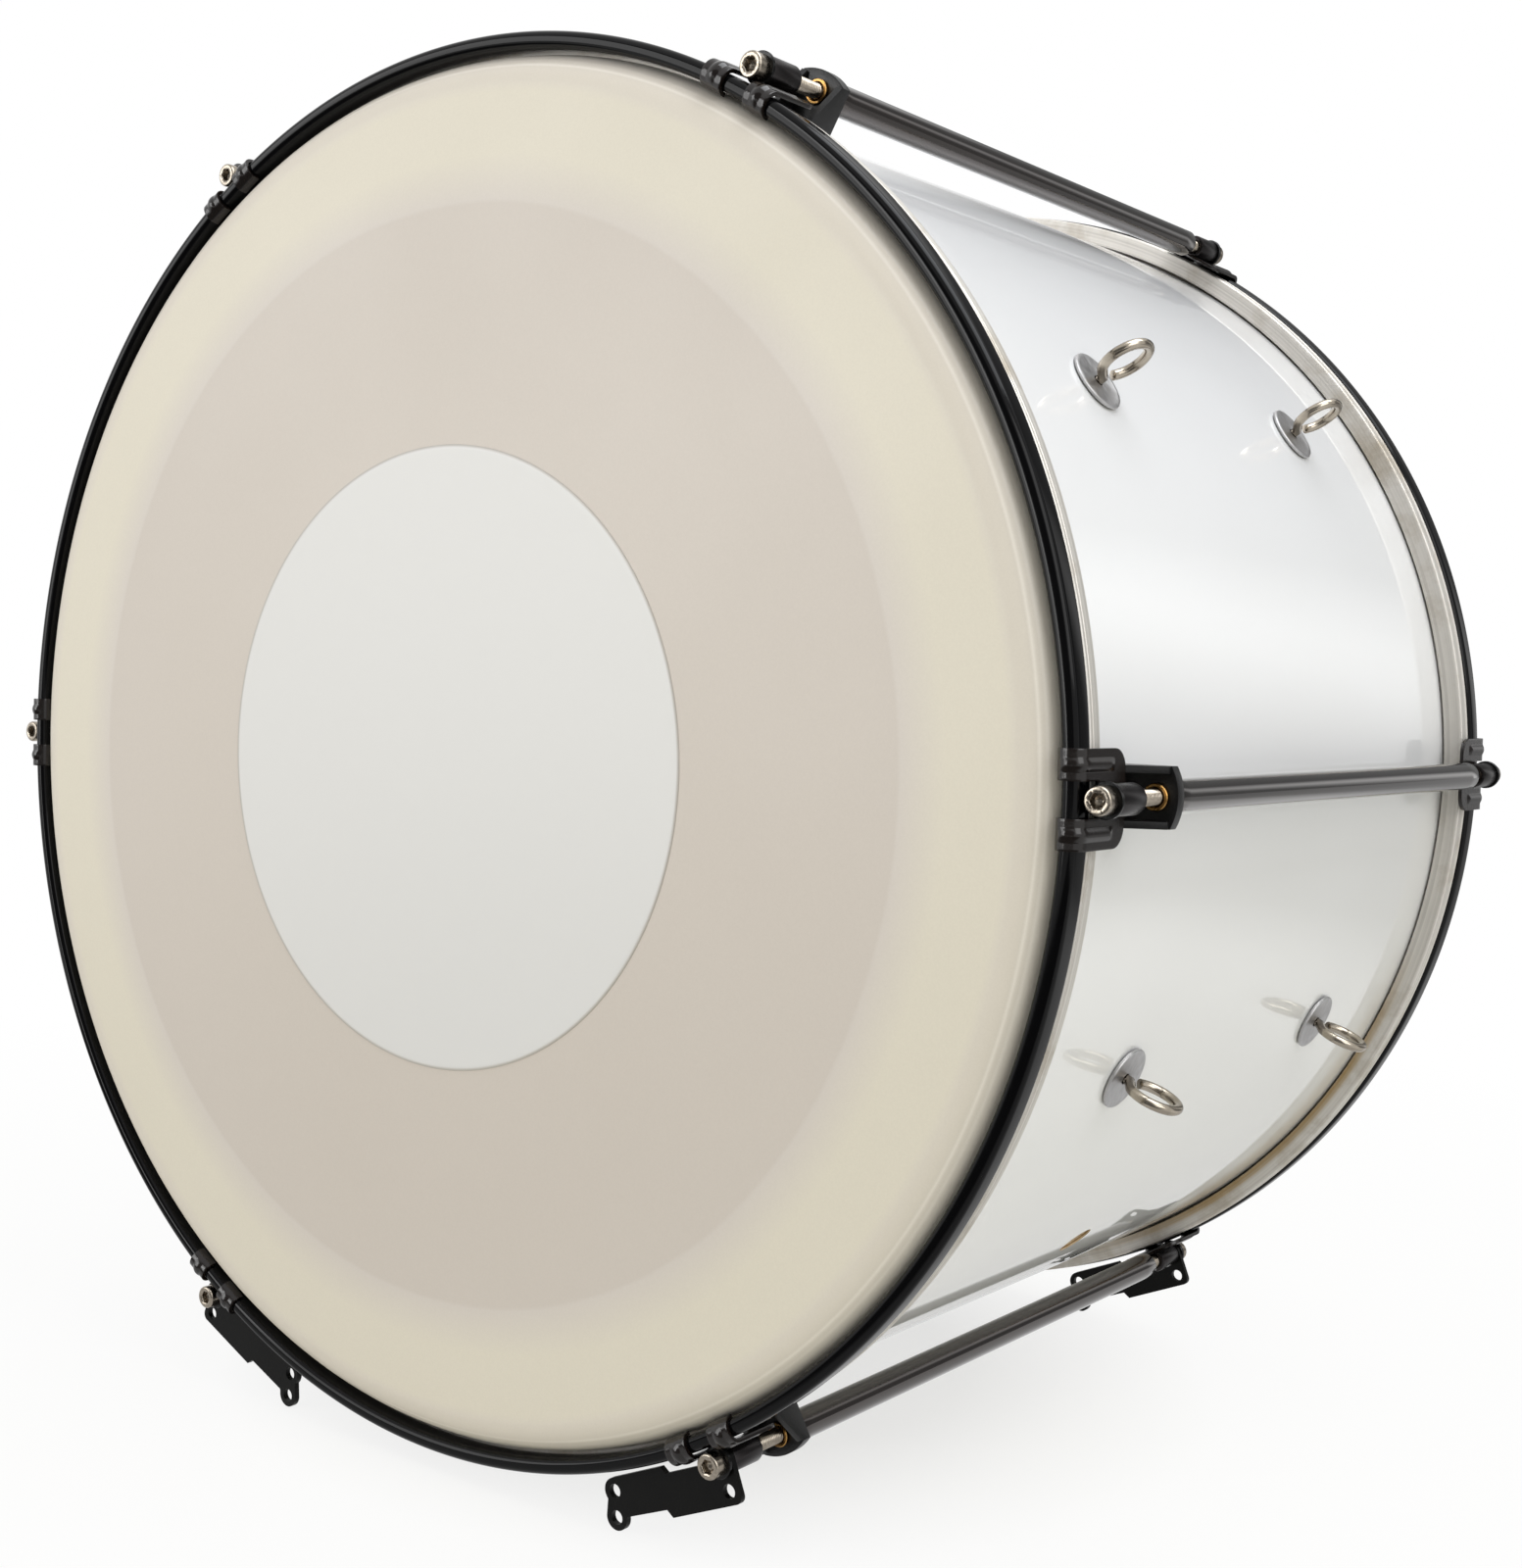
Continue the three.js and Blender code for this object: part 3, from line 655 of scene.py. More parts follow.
for angle, y, hole, half in HOLES:
    away = np.abs((turn_of - angle + 180) % 360 - 180)
    keep &= ~((away < half * 360 / SHELL_STEPS) & (np.abs(middle[:, 1] - y) < half * CELL))
    outer = hole_patch(SHELL_RADIUS, angle, y, hole, half)
    inner = hole_patch(inner_radius, angle, y, hole, half)
    rings, around = outer.shape[:2]
    bore = np.stack([inner[0], outer[0]])
    parts.append((outer.reshape(-1, 3), grid_quads(rings, around, False, True)))
    parts.append((inner.reshape(-1, 3), grid_quads(rings, around, False, True)[:, ::-1]))
    parts.append((bore.reshape(-1, 3), grid_quads(2, around, False, True)))
points, quads = joined((wall_points, wall_quads[keep]), *parts)
shell_mesh = drum_mesh("shell_wall", points, quads)
open_edges = faces_out(shell_mesh)
finished("shell_wall", shell_mesh, lacquer, "shell_assembly", "shell_lacquer", ["shell"])
shell_mesh.materials.append(bare_wood)
print("shell:", len(shell_mesh.polygons), "faces,", open_edges, "open edges")

# %% [markdown]
# ### Wood and lacquer
# The wood shows only where the lacquer stops: inside the wall, at its edges and in the
# holes. Each face's own place tells which finish it gets, so no second piece is needed.

# %% Give the bare faces their wood
centres = np.empty(len(shell_mesh.polygons) * 3)
shell_mesh.polygons.foreach_get("center", centres)
centres = centres.reshape(-1, 3) / MM - np.array([0, 0, AXIS_HEIGHT / MM])
depth = SHELL_RADIUS - np.hypot(centres[:, 0], centres[:, 2])
is_wood = (depth > 0.2) & ((np.abs(centres[:, 1]) < SHELL_STRAIGHT) | (depth > 1.0))
shell_mesh.polygons.foreach_set("material_index", is_wood.astype(np.int32))
print("bare faces:", int(is_wood.sum()))

# %% [markdown]
# ## Heads, dot and flesh hoops
# The film lies flat over the bearing edge, bends down round it, and ends in the flesh hoop,
# a rolled metal ring. Each is one closed profile carried round the axis. Rounded corners
# matter most on the flesh hoop, because they catch the light as thin bright lines.

# %% Heads and flesh hoops
FILM = 0.4
HEAD_FACE = 199.7
FLESH_LOW, FLESH_HIGH = 178.0, 186.0
FLESH_INNER, FLESH_OUTER = 279.5, 288.3
COLLAR_END = np.array((282.3, 186.45))


def head_profile():
    """From the pole along the underside, round the edge, down the collar, and back on top.

    The collar is the straight line from the flesh hoop that just touches the arc of radius R
    round the edge's centre c. It leaves the arc at the angle a(T - c) + acos(R / |T - c|)."""
    reach = COLLAR_END - EDGE_CENTRE
    radius = HEAD_FACE - EDGE_CENTRE[1]
    touch = np.degrees(np.arctan2(reach[1], reach[0]) + np.arccos(radius / np.hypot(*reach)))
    lean = np.array([np.cos(np.radians(touch)), np.sin(np.radians(touch))])
    under = [(r, HEAD_FACE - FILM) for r in (0, 60, 127, 190, 224, 250)]
    top = [(r, HEAD_FACE) for r in (250, 224, 190, 127, 60, 0)]
    inner = arc(EDGE_CENTRE, radius - FILM, 90, touch, 20)
    outer = arc(EDGE_CENTRE, radius, touch, 90, 20)
    return under + inner + [tuple(COLLAR_END - FILM * lean), tuple(COLLAR_END)] + outer + top


def flesh_profile():
    """A flat band with a rolled lip on the hoop's side, rounded at every corner."""
    out, low, high = FLESH_OUTER, FLESH_LOW, FLESH_HIGH
    return [
        (FLESH_INNER, low + 0.3), (FLESH_INNER + 0.3, low), (out - 1.2, low),
        *arc((out - 1.3, low + 1.0), 1.0, -80, 0, 5), (out - 0.3, high - 3.4),
        (out - 0.55, high - 3.1), (out - 0.55, high - 2.8), *arc((out - 1.0, high - 1.3), 1.0, -40, 90, 8),
        (FLESH_INNER + 0.3, high - 0.3), (FLESH_INNER, high - 0.6)]


for end in ("front", "rear"):
    film = drum_mesh("film", *drum_ring(flipped(head_profile(), end), closed=False))
    finished(f"{end}_head_film", film, head_film, f"{end}_hoop_set", "head_film",
             [f"{end}_head"], crease=60)
    band = drum_mesh("band", *drum_ring(flipped(flesh_profile(), end)))
    finished(f"{end}_flesh_band", band, flesh_metal, f"{end}_hoop_set", "flesh_hoop",
             [f"{end}_flesh_hoop"])
print("head:", len(film.polygons), "faces, flesh hoop:", len(band.polygons), "faces")

# %% [markdown]
# ### The dot
# A second, round film is stuck on the middle of the front head, where the mallet lands. A
# disc painted into the head's own finish would look flat. A real one, a few tenths of a
# millimetre thick with a soft rim, catches the light as a fine ring.

# %% Dot
DOT_RADIUS = 127.5
DOT_LOW, DOT_HIGH = HEAD_FACE + 0.02, HEAD_FACE + 0.3
dot_profile = [(0, DOT_LOW), (DOT_RADIUS, DOT_LOW), (DOT_RADIUS, DOT_HIGH - 0.1),
               (DOT_RADIUS - 0.15, DOT_HIGH), (DOT_RADIUS - 2, DOT_HIGH), (0, DOT_HIGH)]
dot = drum_mesh("dot", *drum_ring(flipped(dot_profile, "front"), closed=False))
finished("front_dot_film", dot, dot_film, "front_hoop_set", "dot_film", ["front_head_dot"])
print("dot:", 2 * DOT_RADIUS, "mm across")

# %% [markdown]
# ## Counterhoops
# The black hoop is a bar bent into a ring, with well rounded corners. Its look is all in
# the radius of those corners, where a lamp shows as one thin line. A curve with a bevel
# would draw a round bar. A profile carried round the axis keeps the bar's flat sides.

# %% Counterhoops
HOOP_INNER, HOOP_OUTER = 282.976, 289.376
HOOP_LOW, HOOP_HIGH = 186.3, 197.3
HOOP_CORNER = 2.8


def hoop_profile():
    """A bar's section: four quarter circles of one radius, joined by straight sides."""
    near, far = HOOP_INNER + HOOP_CORNER, HOOP_OUTER - HOOP_CORNER
    low, high = HOOP_LOW + HOOP_CORNER, HOOP_HIGH - HOOP_CORNER
    return [*arc((far, low), HOOP_CORNER, -90, 0, 8), *arc((far, high), HOOP_CORNER, 0, 90, 10),
            *arc((near, high), HOOP_CORNER, 90, 180, 8), *arc((near, low), HOOP_CORNER, 180, 270, 6)]


for end in ("front", "rear"):
    bar = drum_mesh("bar", *drum_ring(flipped(hoop_profile(), end), 480))
    finished(f"{end}_hoop_bar", bar, hoop_black, f"{end}_hoop_set", "hoop_enamel",
             [f"{end}_counterhoop"], crease=60)
print("counterhoop:", len(bar.polygons), "faces")

# %% [markdown]
# ## Claws
# A claw is pressed from sheet. Seen from the side, the sheet is a path: along the hoop's
# outside, round its front and down its inside. Across the path it is two hooks joined by a
# tab with rounded corners, and each hook has a raised rib. So the surface is a grid: one
# parameter runs along the path, the other across it, and the rib is added along the
# path's normal. Solidify then gives the sheet its thickness and Bevel rounds its edges.
# The path comes first, with more points where it bends.

# %% Claw path
CLAW_REAR, CLAW_FRONT, CLAW_TIP = 168.0, 198.95, 193.4
CLAW_OUT, CLAW_IN = 291.676, 281.1
CLAW_STEEL = 1.6
CLAW_HALF, SLOT_HALF, SLOT_FLOOR = 16.6, 6.1, 186.0
TAB_CORNER = 7.5
RIB_MIDDLE, RIB_HALF, RIB_HEIGHT, RIB_END = 11.35, 2.3, 0.7, 177.0


def claw_path():
    """(r, s) and outward normal along the sheet's middle, from the tab's end to the inner leg."""
    half = CLAW_STEEL / 2
    bend = 5.1 - half
    outer, inner, front = CLAW_OUT - half, CLAW_IN + half, CLAW_FRONT - half
    sweep = np.radians(np.linspace(90, 0, 9))
    tab = CLAW_REAR + TAB_CORNER - TAB_CORNER * np.sin(sweep)
    below, beside = np.linspace(tab[-1], SLOT_FLOOR, 11)[1:], np.linspace(SLOT_FLOOR, front - bend, 7)[1:]
    straight = np.concatenate([below, beside])
    first = np.stack([np.full(tab.size + straight.size, outer), np.concatenate([tab, straight])], -1)
    over = np.array(arc((outer - bend, front - bend), bend, 0, 90, 10)[1:])
    flat = np.linspace(outer - bend, inner + bend, 3)[1:-1]
    down = np.array(arc((inner + bend, front - bend), bend, 90, 180, 10))
    leg = np.linspace(front - bend, CLAW_TIP, 3)[1:]
    path = np.concatenate([first, over, np.stack([flat, np.full(flat.size, front)], -1), down,
                           np.stack([np.full(leg.size, inner), leg], -1)])
    ahead = np.gradient(path, axis=0)
    normal = np.stack([ahead[:, 1], -ahead[:, 0]], -1)
    return path, normal / np.linalg.norm(normal, axis=1, keepdims=True)


print("claw path:", len(claw_path()[0]), "points")

# %% [markdown]
# ### The claw's sheet
# The path becomes a surface by giving it a width. The columns stand closer together where
# the rib rises, because a hill needs points to bend at. Leaving out the quads of the slot
# makes two hooks of one sheet. Sculpting could press the ribs too, but a formula keeps all
# of them alike, and one changed size moves them all.

# %% Claw master
def claw_sheet():
    """P(i, j) = path_i + rib(i, j) normal_i, at sideways distance u_j, narrowed at the tab's end."""
    path, normal = claw_path()
    hook = np.array([6.1, 7.0, 8.0, 8.7, 9.05, 9.5, 10.0, 10.6, 11.35,
                     12.1, 12.7, 13.2, 13.65, 14.0, 14.7, 15.7, 16.6])
    across = np.concatenate([-hook[::-1], np.linspace(-SLOT_HALF, SLOT_HALF, 13)[1:-1], hook])
    drop = np.clip((CLAW_REAR + TAB_CORNER - path[:, 1]) / TAB_CORNER, 0, 1)
    width = CLAW_HALF - TAB_CORNER * (1 - np.sqrt(1 - drop ** 2))
    sideways = across[None, :] * (width / CLAW_HALF)[:, None]
    offset = (np.abs(across) - RIB_MIDDLE) / RIB_HALF
    hill = np.where(np.abs(offset) < 1, np.cos(offset * np.pi / 2) ** 1.2, 0)
    along = np.clip((path[:, 0] - CLAW_IN - 2.5) / 3, 0, 1)
    on_tab = path[:, 0] > CLAW_OUT - 1.5
    along[on_tab] = np.clip((path[on_tab, 1] - RIB_END) / 0.8, 0, 1)
    rise = RIB_HEIGHT * along[:, None] * hill[None, :]
    points = np.stack([path[:, None, 0] + rise * normal[:, None, 0],
                       path[:, None, 1] + rise * normal[:, None, 1], sideways], -1)
    quads = grid_quads(*points.shape[:2])
    centre = points.reshape(-1, 3)[quads].mean(1)
    row = quads.min(1) // points.shape[1]
    slot = (np.abs(centre[:, 2]) < SLOT_HALF) & (row >= np.argmax(path[:, 1] >= SLOT_FLOOR - 1e-6))
    return points.reshape(-1, 3), quads[~slot]


points, quads = claw_sheet()
sheet = bpy.data.meshes.new("claw_sheet")
sheet.from_pydata(points.tolist(), [], quads.tolist())
claw_master = carved(sheet, ("SOLIDIFY", {"thickness": CLAW_STEEL, "offset": 0, "use_even_offset": True}),
                     rounded_edges(0.45, 2, 60))
print("claw:", len(claw_master.polygons), "faces")

# %% [markdown]
# ### The barrel
# A round barrel is welded to each claw, and the screw turns in it. It is lathe work about
# the screw's axis: the profile goes round the wall, with a chamfer at every rim. A cylinder
# with a hole cut through it would need its rims bevelled afterwards.

# %% Barrel master
BARREL_REAR, BARREL_RADIUS, BORE_RADIUS = 170.0, 5.5, 3.3
barrel_rows = [
    (BORE_RADIUS, BARREL_REAR + 0.4), (BORE_RADIUS + 0.4, BARREL_REAR), (BARREL_RADIUS - 0.9, BARREL_REAR),
    (BARREL_RADIUS - 0.25, BARREL_REAR + 0.35), (BARREL_RADIUS, BARREL_REAR + 1.1),
    (BARREL_RADIUS, BARREL_FRONT - 0.5), (BARREL_RADIUS - 0.15, BARREL_FRONT - 0.12),
    (BARREL_RADIUS - 0.5, BARREL_FRONT), (BORE_RADIUS + 0.3, BARREL_FRONT),
    (BORE_RADIUS, BARREL_FRONT - 0.3), (BORE_RADIUS, BARREL_REAR + 0.4)]
points, quads = turned(barrel_rows, 48)
barrel_master = raw_mesh("barrel", moved(points, r=SCREW_CIRCLE), quads)
print("barrel:", len(barrel_master.polygons), "faces")

# %% [markdown]
# ## Screws and washers
# The screw is one turned surface. Its head has a chamfer, its socket is the same surface
# with the radius drawn to a hexagon, and its thread is the radius as a rising wave. Three
# pieces cut and joined would do as well, but one surface has no seams to hide.

# %% Screw masters
THREAD_DEPTH, PITCH = 0.26, 1.0
SCREW_RADIUS, HEAD_RADIUS = 3.0, 5.0
SEAT, HEAD_TOP, TIP = 1.6, 7.6, -48.4
SOCKET_FLAT, THREAD_TOP = 2.5, -6.0


def screw_surface():
    """Rows of (radius, height, share of hexagon, share of thread), from the socket to the tip."""
    socket = SOCKET_FLAT / np.cos(np.pi / 6)
    top, wide = HEAD_TOP, HEAD_RADIUS
    rows = [(0, top - 4.3, 0, 0), (0.9, top - 3.9, 0, 0), (1.9, top - 3.35, 0, 0), (2.15, top - 3.05, 0, 0),
            (2.2, top - 3.0, 0, 0), (socket, top - 3.0, 1, 0), (socket, top - 2.95, 1, 0),
            (socket, top - 0.4, 1, 0), (socket + 0.1, top - 0.25, 1, 0), (3.2, top, 0, 0),
            (wide - 0.75, top, 0, 0), (wide - 0.5, top - 0.07, 0, 0), (wide - 0.15, top - 0.4, 0, 0),
            (wide, top - 0.85, 0, 0), (wide, top - 1.2, 0, 0), (wide, SEAT + 0.5, 0, 0),
            (wide - 0.15, SEAT + 0.1, 0, 0), (wide - 0.3, SEAT, 0, 0), (SCREW_RADIUS, SEAT, 0, 0)]
    thread = np.arange(THREAD_TOP, TIP + 0.9, -PITCH / 7)
    fade = np.clip((THREAD_TOP - thread) / 2, 0, 1) * np.clip((thread - TIP - 0.9) / 1.0, 0, 1)
    rows += [(SCREW_RADIUS, s, 0, f) for s, f in zip(thread, fade)]
    rows += [(SCREW_RADIUS, TIP + 0.8, 0, 0), (SCREW_RADIUS - 0.8, TIP, 0, 0), (0, TIP, 0, 0)]
    rows = np.array(rows)
    return turned(rows[:, :2], 36, rows[:, 2], (THREAD_DEPTH * rows[:, 3], PITCH))


points, quads = screw_surface()
screw_master = raw_mesh("screw", points, quads)
WASHER_RADIUS = 6.3
washer_rows = [
    (3.4, 0.05), (WASHER_RADIUS - 0.3, 0.05), (WASHER_RADIUS, 0.35), (WASHER_RADIUS, 1.35),
    (WASHER_RADIUS - 0.25, 1.58), (WASHER_RADIUS - 0.6, 1.6), (3.4, 1.6), (3.4, 0.05)]
points, quads = turned(washer_rows, 48)
screw_washer_master = raw_mesh("screw_washer", points, quads)
print("screw:", len(screw_master.polygons), "faces")

# %% [markdown]
# ## Put down claws and screws
# One master of each serves all twelve lugs. Every copy is a mesh of its own with its place
# in its points, so that each piece's object can stay at the origin. At the lugs that hold a
# foot plate, the screw sits further out by the plate's thickness.

# %% Claws and screws at every lug
FOOT_LUGS = {240: "left", 300: "right"}
GAP = 0.3
for end in ("front", "rear"):
    for number, angle in enumerate(LUG_ANGLES, start=1):
        here = station(angle, end)
        seat = BARREL_FRONT + GAP + (FOOT_STEEL + GAP if angle in FOOT_LUGS else 0)
        hoop_set, screw_body = f"{end}_hoop_set", f"{end}_screw_{number}"
        claw = f"{end}_claw_{number}"
        stamped(f"{claw}_sheet", claw_master, here, claw_black, hoop_set, "claw_enamel", [claw], crease=50)
        stamped(f"{claw}_barrel", barrel_master, here, barrel_plate, hoop_set, "claw_enamel")
        shift = (np.array([SCREW_CIRCLE, seat, 0]) @ here * MM).tolist()
        for name, master, material, gone in (
                (f"{screw_body}_bolt", screw_master, screw_steel, [screw_body]),
                (f"{screw_body}_washer", screw_washer_master, washer_black, [])):
            piece = stamped(name, master, here, material, screw_body, "screw_steel", gone)
            piece.data.transform(Matrix.Translation(shift))
print("claws and screws done")

# %% [markdown]
# ## Tension tubes
# A tube is drawn steel with a brass insert pressed into each end, where the screws bite.
# The front insert has a neck that passes through the bracket and a small flange in front.
# Both are turned, inside walls too, because the eye looks into the front ends.

# %% Tubes and inserts
TUBE_RADIUS, TUBE_BORE = 6.0, 4.6
TUBE_FRONT, TUBE_REAR = 148.2, -161.0
INSERT_DEPTH, INSERT_BORE = 20.0, 3.3
NECK_RADIUS, FLANGE_RADIUS, FLANGE_FRONT = 4.0, 4.7, 154.3


def tube_rows():
    """Outside from rear to front with small chamfers, and back along the bore."""
    rear, front = TUBE_REAR, TUBE_FRONT
    outside = [(TUBE_BORE, rear + 0.3), (TUBE_BORE + 0.3, rear), (TUBE_RADIUS - 0.7, rear),
               (TUBE_RADIUS - 0.2, rear + 0.25), (TUBE_RADIUS, rear + 0.8)]
    outside += [(TUBE_RADIUS, s) for s in np.linspace(rear + 10, front - 10, 12)]
    outside += [(TUBE_RADIUS, front - 0.8), (TUBE_RADIUS - 0.2, front - 0.25), (TUBE_RADIUS - 0.7, front)]
    return outside + [(TUBE_BORE, front), (TUBE_BORE, rear + 0.3)]


def insert_rows(front):
    """A bushing with a screw bore: with neck and flange at the front, flush at the rear."""
    bore, body = INSERT_BORE, TUBE_BORE - 0.02
    if not front:
        rear = TUBE_REAR
        return [(bore, rear + 0.5), (bore + 0.5, rear + 0.1), (body - 0.4, rear + 0.1), (body, rear + 0.5),
                (body, rear + INSERT_DEPTH), (bore, rear + INSERT_DEPTH), (bore, rear + 0.5)]
    low, lip = TUBE_FRONT - INSERT_DEPTH, FLANGE_FRONT - 1.0
    return [(bore, low), (body, low), (body, TUBE_FRONT - 0.3), (NECK_RADIUS, TUBE_FRONT - 0.1),
            (NECK_RADIUS, lip), (FLANGE_RADIUS - 0.1, lip), (FLANGE_RADIUS, lip + 0.15),
            (FLANGE_RADIUS, FLANGE_FRONT - 0.3), (FLANGE_RADIUS - 0.3, FLANGE_FRONT),
            (bore + 0.45, FLANGE_FRONT), (bore, FLANGE_FRONT - 0.45), (bore, low)]


tube_master = raw_mesh("sleeve", *turned(tube_rows(), 64))
insert_masters = {side: raw_mesh("insert", *turned(insert_rows(side == "front"), 48))
                  for side in ("front", "rear")}
for number, angle in enumerate(LUG_ANGLES, start=1):
    here = station(angle, "front")
    shift = (SCREW_CIRCLE * here[0] * MM).tolist()
    tube = stamped(f"tube_{number}_sleeve", tube_master, here, tube_plate, "shell_assembly",
                   "tube_chrome", [f"tension_tube_{number}"])
    inserts = [stamped(f"tube_{number}_insert_{side}", master, here, brass, "shell_assembly", "tube_chrome")
               for side, master in insert_masters.items()]
    for piece in (tube, *inserts):
        piece.data.transform(Matrix.Translation(shift))
print("tube:", TUBE_FRONT - TUBE_REAR, "mm long")

# %% [markdown]
# ## Pieces cut to an outline
# A foot plate is steel sheet cut to one outline. A bracket is a block cut to two, from the
# side and from the front. Both start as slabs: an outline at two depths, with walls between
# and a flat face on each. Booleans cut one slab by another and drill the holes, and a bevel
# rounds the edges, which is where enamel shows a highlight.

# %% Slab helpers
def slab(outline, low, high, axis=1):
    """An outline given as (first, second) pairs, extruded along axis from low to high."""
    outline = np.asarray(outline, float)
    count = len(outline)
    layers = [np.insert(outline, axis, depth, axis=1) for depth in (low, high)]
    start = np.arange(count)
    walls = np.stack([start, (start + 1) % count, (start + 1) % count + count, start + count], -1)
    mesh = bpy.data.meshes.new("slab")
    faces = walls.tolist() + [start[::-1].tolist(), (start + count).tolist()]
    mesh.from_pydata(np.concatenate(layers).tolist(), [], faces)
    faces_out(mesh)
    return mesh


def round_pin(centre, radius, low, high):
    """A cylinder along s through (r, u) = centre, used to drill a hole."""
    turn = np.linspace(0, 2 * np.pi, 40, endpoint=False)
    outline = np.stack([centre[0] + radius * np.cos(turn), centre[1] + radius * np.sin(turn)], -1)
    return slab(outline, low, high)


def combined(mesh, others, operation):
    """The mesh united with, or cut by, each of the others in turn."""
    for other in others:
        tool = bpy.data.objects.new("tool", other)
        bpy.context.scene.collection.objects.link(tool)
        mesh = carved(mesh, ("BOOLEAN", {"object": tool, "operation": operation, "solver": "EXACT"}))
        bpy.data.objects.remove(tool)
    return mesh


print("slab helpers ready")

# %% [markdown]
# ### Lug brackets
# A bracket is a channel: a face plate with a crowned top, and two side flanges that widen
# towards the shell, joined there by a foot. The tube's neck passes through its hole. It is
# cut from one block, as from a casting, so that no wall is hidden inside another.

# %% Brackets
BRACKET_BACK, BRACKET_FACE = 148.5, 153.0
BRACKET_HALF, BRACKET_FOOT, SHELL_SEAT = 10.6, 3.0, 278.8
CROWN_TOP, CROWN_RADIUS, BRACKET_FLANGE = 303.576, 22.0, 2.5
BRACKET_TIP, BRACKET_HEEL = 154.0, 167.0
OVERRUN, DRILL_OVERRUN = 9.0, 4.0


def bracket_mesh():
    """A block with the channel's side view, cut by its crowned front view, hollowed and drilled."""
    lean = np.degrees(np.arcsin(BRACKET_HALF / CROWN_RADIUS))
    crown = arc((0, CROWN_TOP - CROWN_RADIUS), CROWN_RADIUS, 90 - lean, 90 + lean, 24)
    crown = [(height, across) for across, height in crown]
    shoulder = crown[0][0]
    foot_low, heel_out, beyond = SHELL_SEAT - OVERRUN, BRACKET_HEEL + OVERRUN, CROWN_TOP + OVERRUN
    side = [(SHELL_SEAT, BRACKET_BACK), (beyond, BRACKET_BACK), (beyond, BRACKET_FACE),
            (shoulder - 0.3, BRACKET_FACE), (shoulder - 0.3, BRACKET_TIP), (SHELL_SEAT, BRACKET_HEEL)]
    block = slab(side, -BRACKET_HALF - OVERRUN, BRACKET_HALF + OVERRUN, axis=2)
    outline = [(foot_low, -BRACKET_HALF), (foot_low, BRACKET_HALF), *crown]
    block = combined(block, [slab(outline, BRACKET_BACK - OVERRUN, heel_out)], "INTERSECT")
    inside = BRACKET_HALF - BRACKET_FLANGE
    floor = SHELL_SEAT + BRACKET_FOOT
    hollow = slab([(floor, -inside), (floor, inside), (beyond, inside), (beyond, -inside)],
                  BRACKET_FACE, heel_out)
    hole = round_pin((SCREW_CIRCLE, 0), NECK_RADIUS + GAP,
                     BRACKET_BACK - DRILL_OVERRUN, BRACKET_FACE + DRILL_OVERRUN)
    whole = combined(block, [hollow, hole], "DIFFERENCE")
    return carved(whole, rounded_edges(0.5, 3, 35))


bracket_master = bracket_mesh()
for number, angle in enumerate(LUG_ANGLES, start=1):
    stamped(f"bracket_{number}_channel", bracket_master, station(angle, "front"), bracket_black,
            "shell_assembly", "bracket_enamel", [f"lug_bracket_{number}"], crease=40)
print("bracket:", len(bracket_master.polygons), "faces")

# %% [markdown]
# ### Foot plates
# The drum stands on four thin plates under its lowest screws. Each is a boss round the
# screw, a long waist and a lobe, with three spare holes. The outline is drawn along the
# plate, then turned and mirrored to its place, so left and right share one drawing.

# %% Foot plates
FOOT_LOW, FOOT_TILT = 187.6, 5.7
BOSS, LOBE, LOBE_RADIUS = 5.6, (60.0, 12.0), 5.12
UPPER_HOLE, UPPER_RADIUS, HEEL_HOLE = (57.1, 2.2), 5.1, (0.0, 11.2)
FOOT_HOLE, FOOT_SCREW_HOLE = 2.8, 3.3


def foot_outline():
    """Points (X towards the lobe, v out from the drum), all the way round."""
    lobe_end = arc(LOBE, LOBE_RADIUS, 165, -20, 24)
    upper_end = arc(UPPER_HOLE, UPPER_RADIUS, 25, -90, 12)
    heel = arc((-2.0, 13.4), 3.0, 180, 90, 8)
    boss = arc((0, 0), BOSS, 0, -180, 24)
    waist = [(31.0, 16.4), (33.0, 13.1), (54.4, 12.7)]
    return [*boss, *heel, *waist, *lobe_end, *upper_end, (30.3, -2.9), (28.5, 0.0)]


def foot_mesh(hand):
    """The plate for the right side of the front (hand 1), or its mirror image (hand -1)."""
    tilt = np.radians(FOOT_TILT)

    def turned_in(points):
        """(X, v) turned by the tilt t: r = circle + v cos t - X sin t, u = hand (X cos t + v sin t)."""
        x, v = np.asarray(points, float).T
        radial = SCREW_CIRCLE + v * np.cos(tilt) - x * np.sin(tilt)
        return np.stack([radial, hand * (x * np.cos(tilt) + v * np.sin(tilt))], -1)

    plate = slab(turned_in(foot_outline()), FOOT_LOW, FOOT_LOW + FOOT_STEEL)
    spots = turned_in([(0, 0), HEEL_HOLE, UPPER_HOLE, LOBE])
    radii = (FOOT_SCREW_HOLE, FOOT_HOLE, FOOT_HOLE, FOOT_HOLE)
    pins = [round_pin(spot, radius, FOOT_LOW - DRILL_OVERRUN, FOOT_LOW + 2 * DRILL_OVERRUN)
            for spot, radius in zip(spots, radii)]
    return carved(combined(plate, pins, "DIFFERENCE"), rounded_edges(0.35, 2, 35))


foot_masters = {hand: foot_mesh(hand) for hand in (1, -1)}
for end in ("front", "rear"):
    for angle, side in FOOT_LUGS.items():
        hand = (1 if side == "right" else -1) * (1 if end == "front" else -1)
        name = f"{end}_foot_plate_{side}"
        stamped(f"{name}_steel", foot_masters[hand], station(angle, end), foot_black,
                f"{end}_hoop_set", "foot_enamel", [name], crease=40)
print("foot plate:", len(foot_masters[1].polygons), "faces")

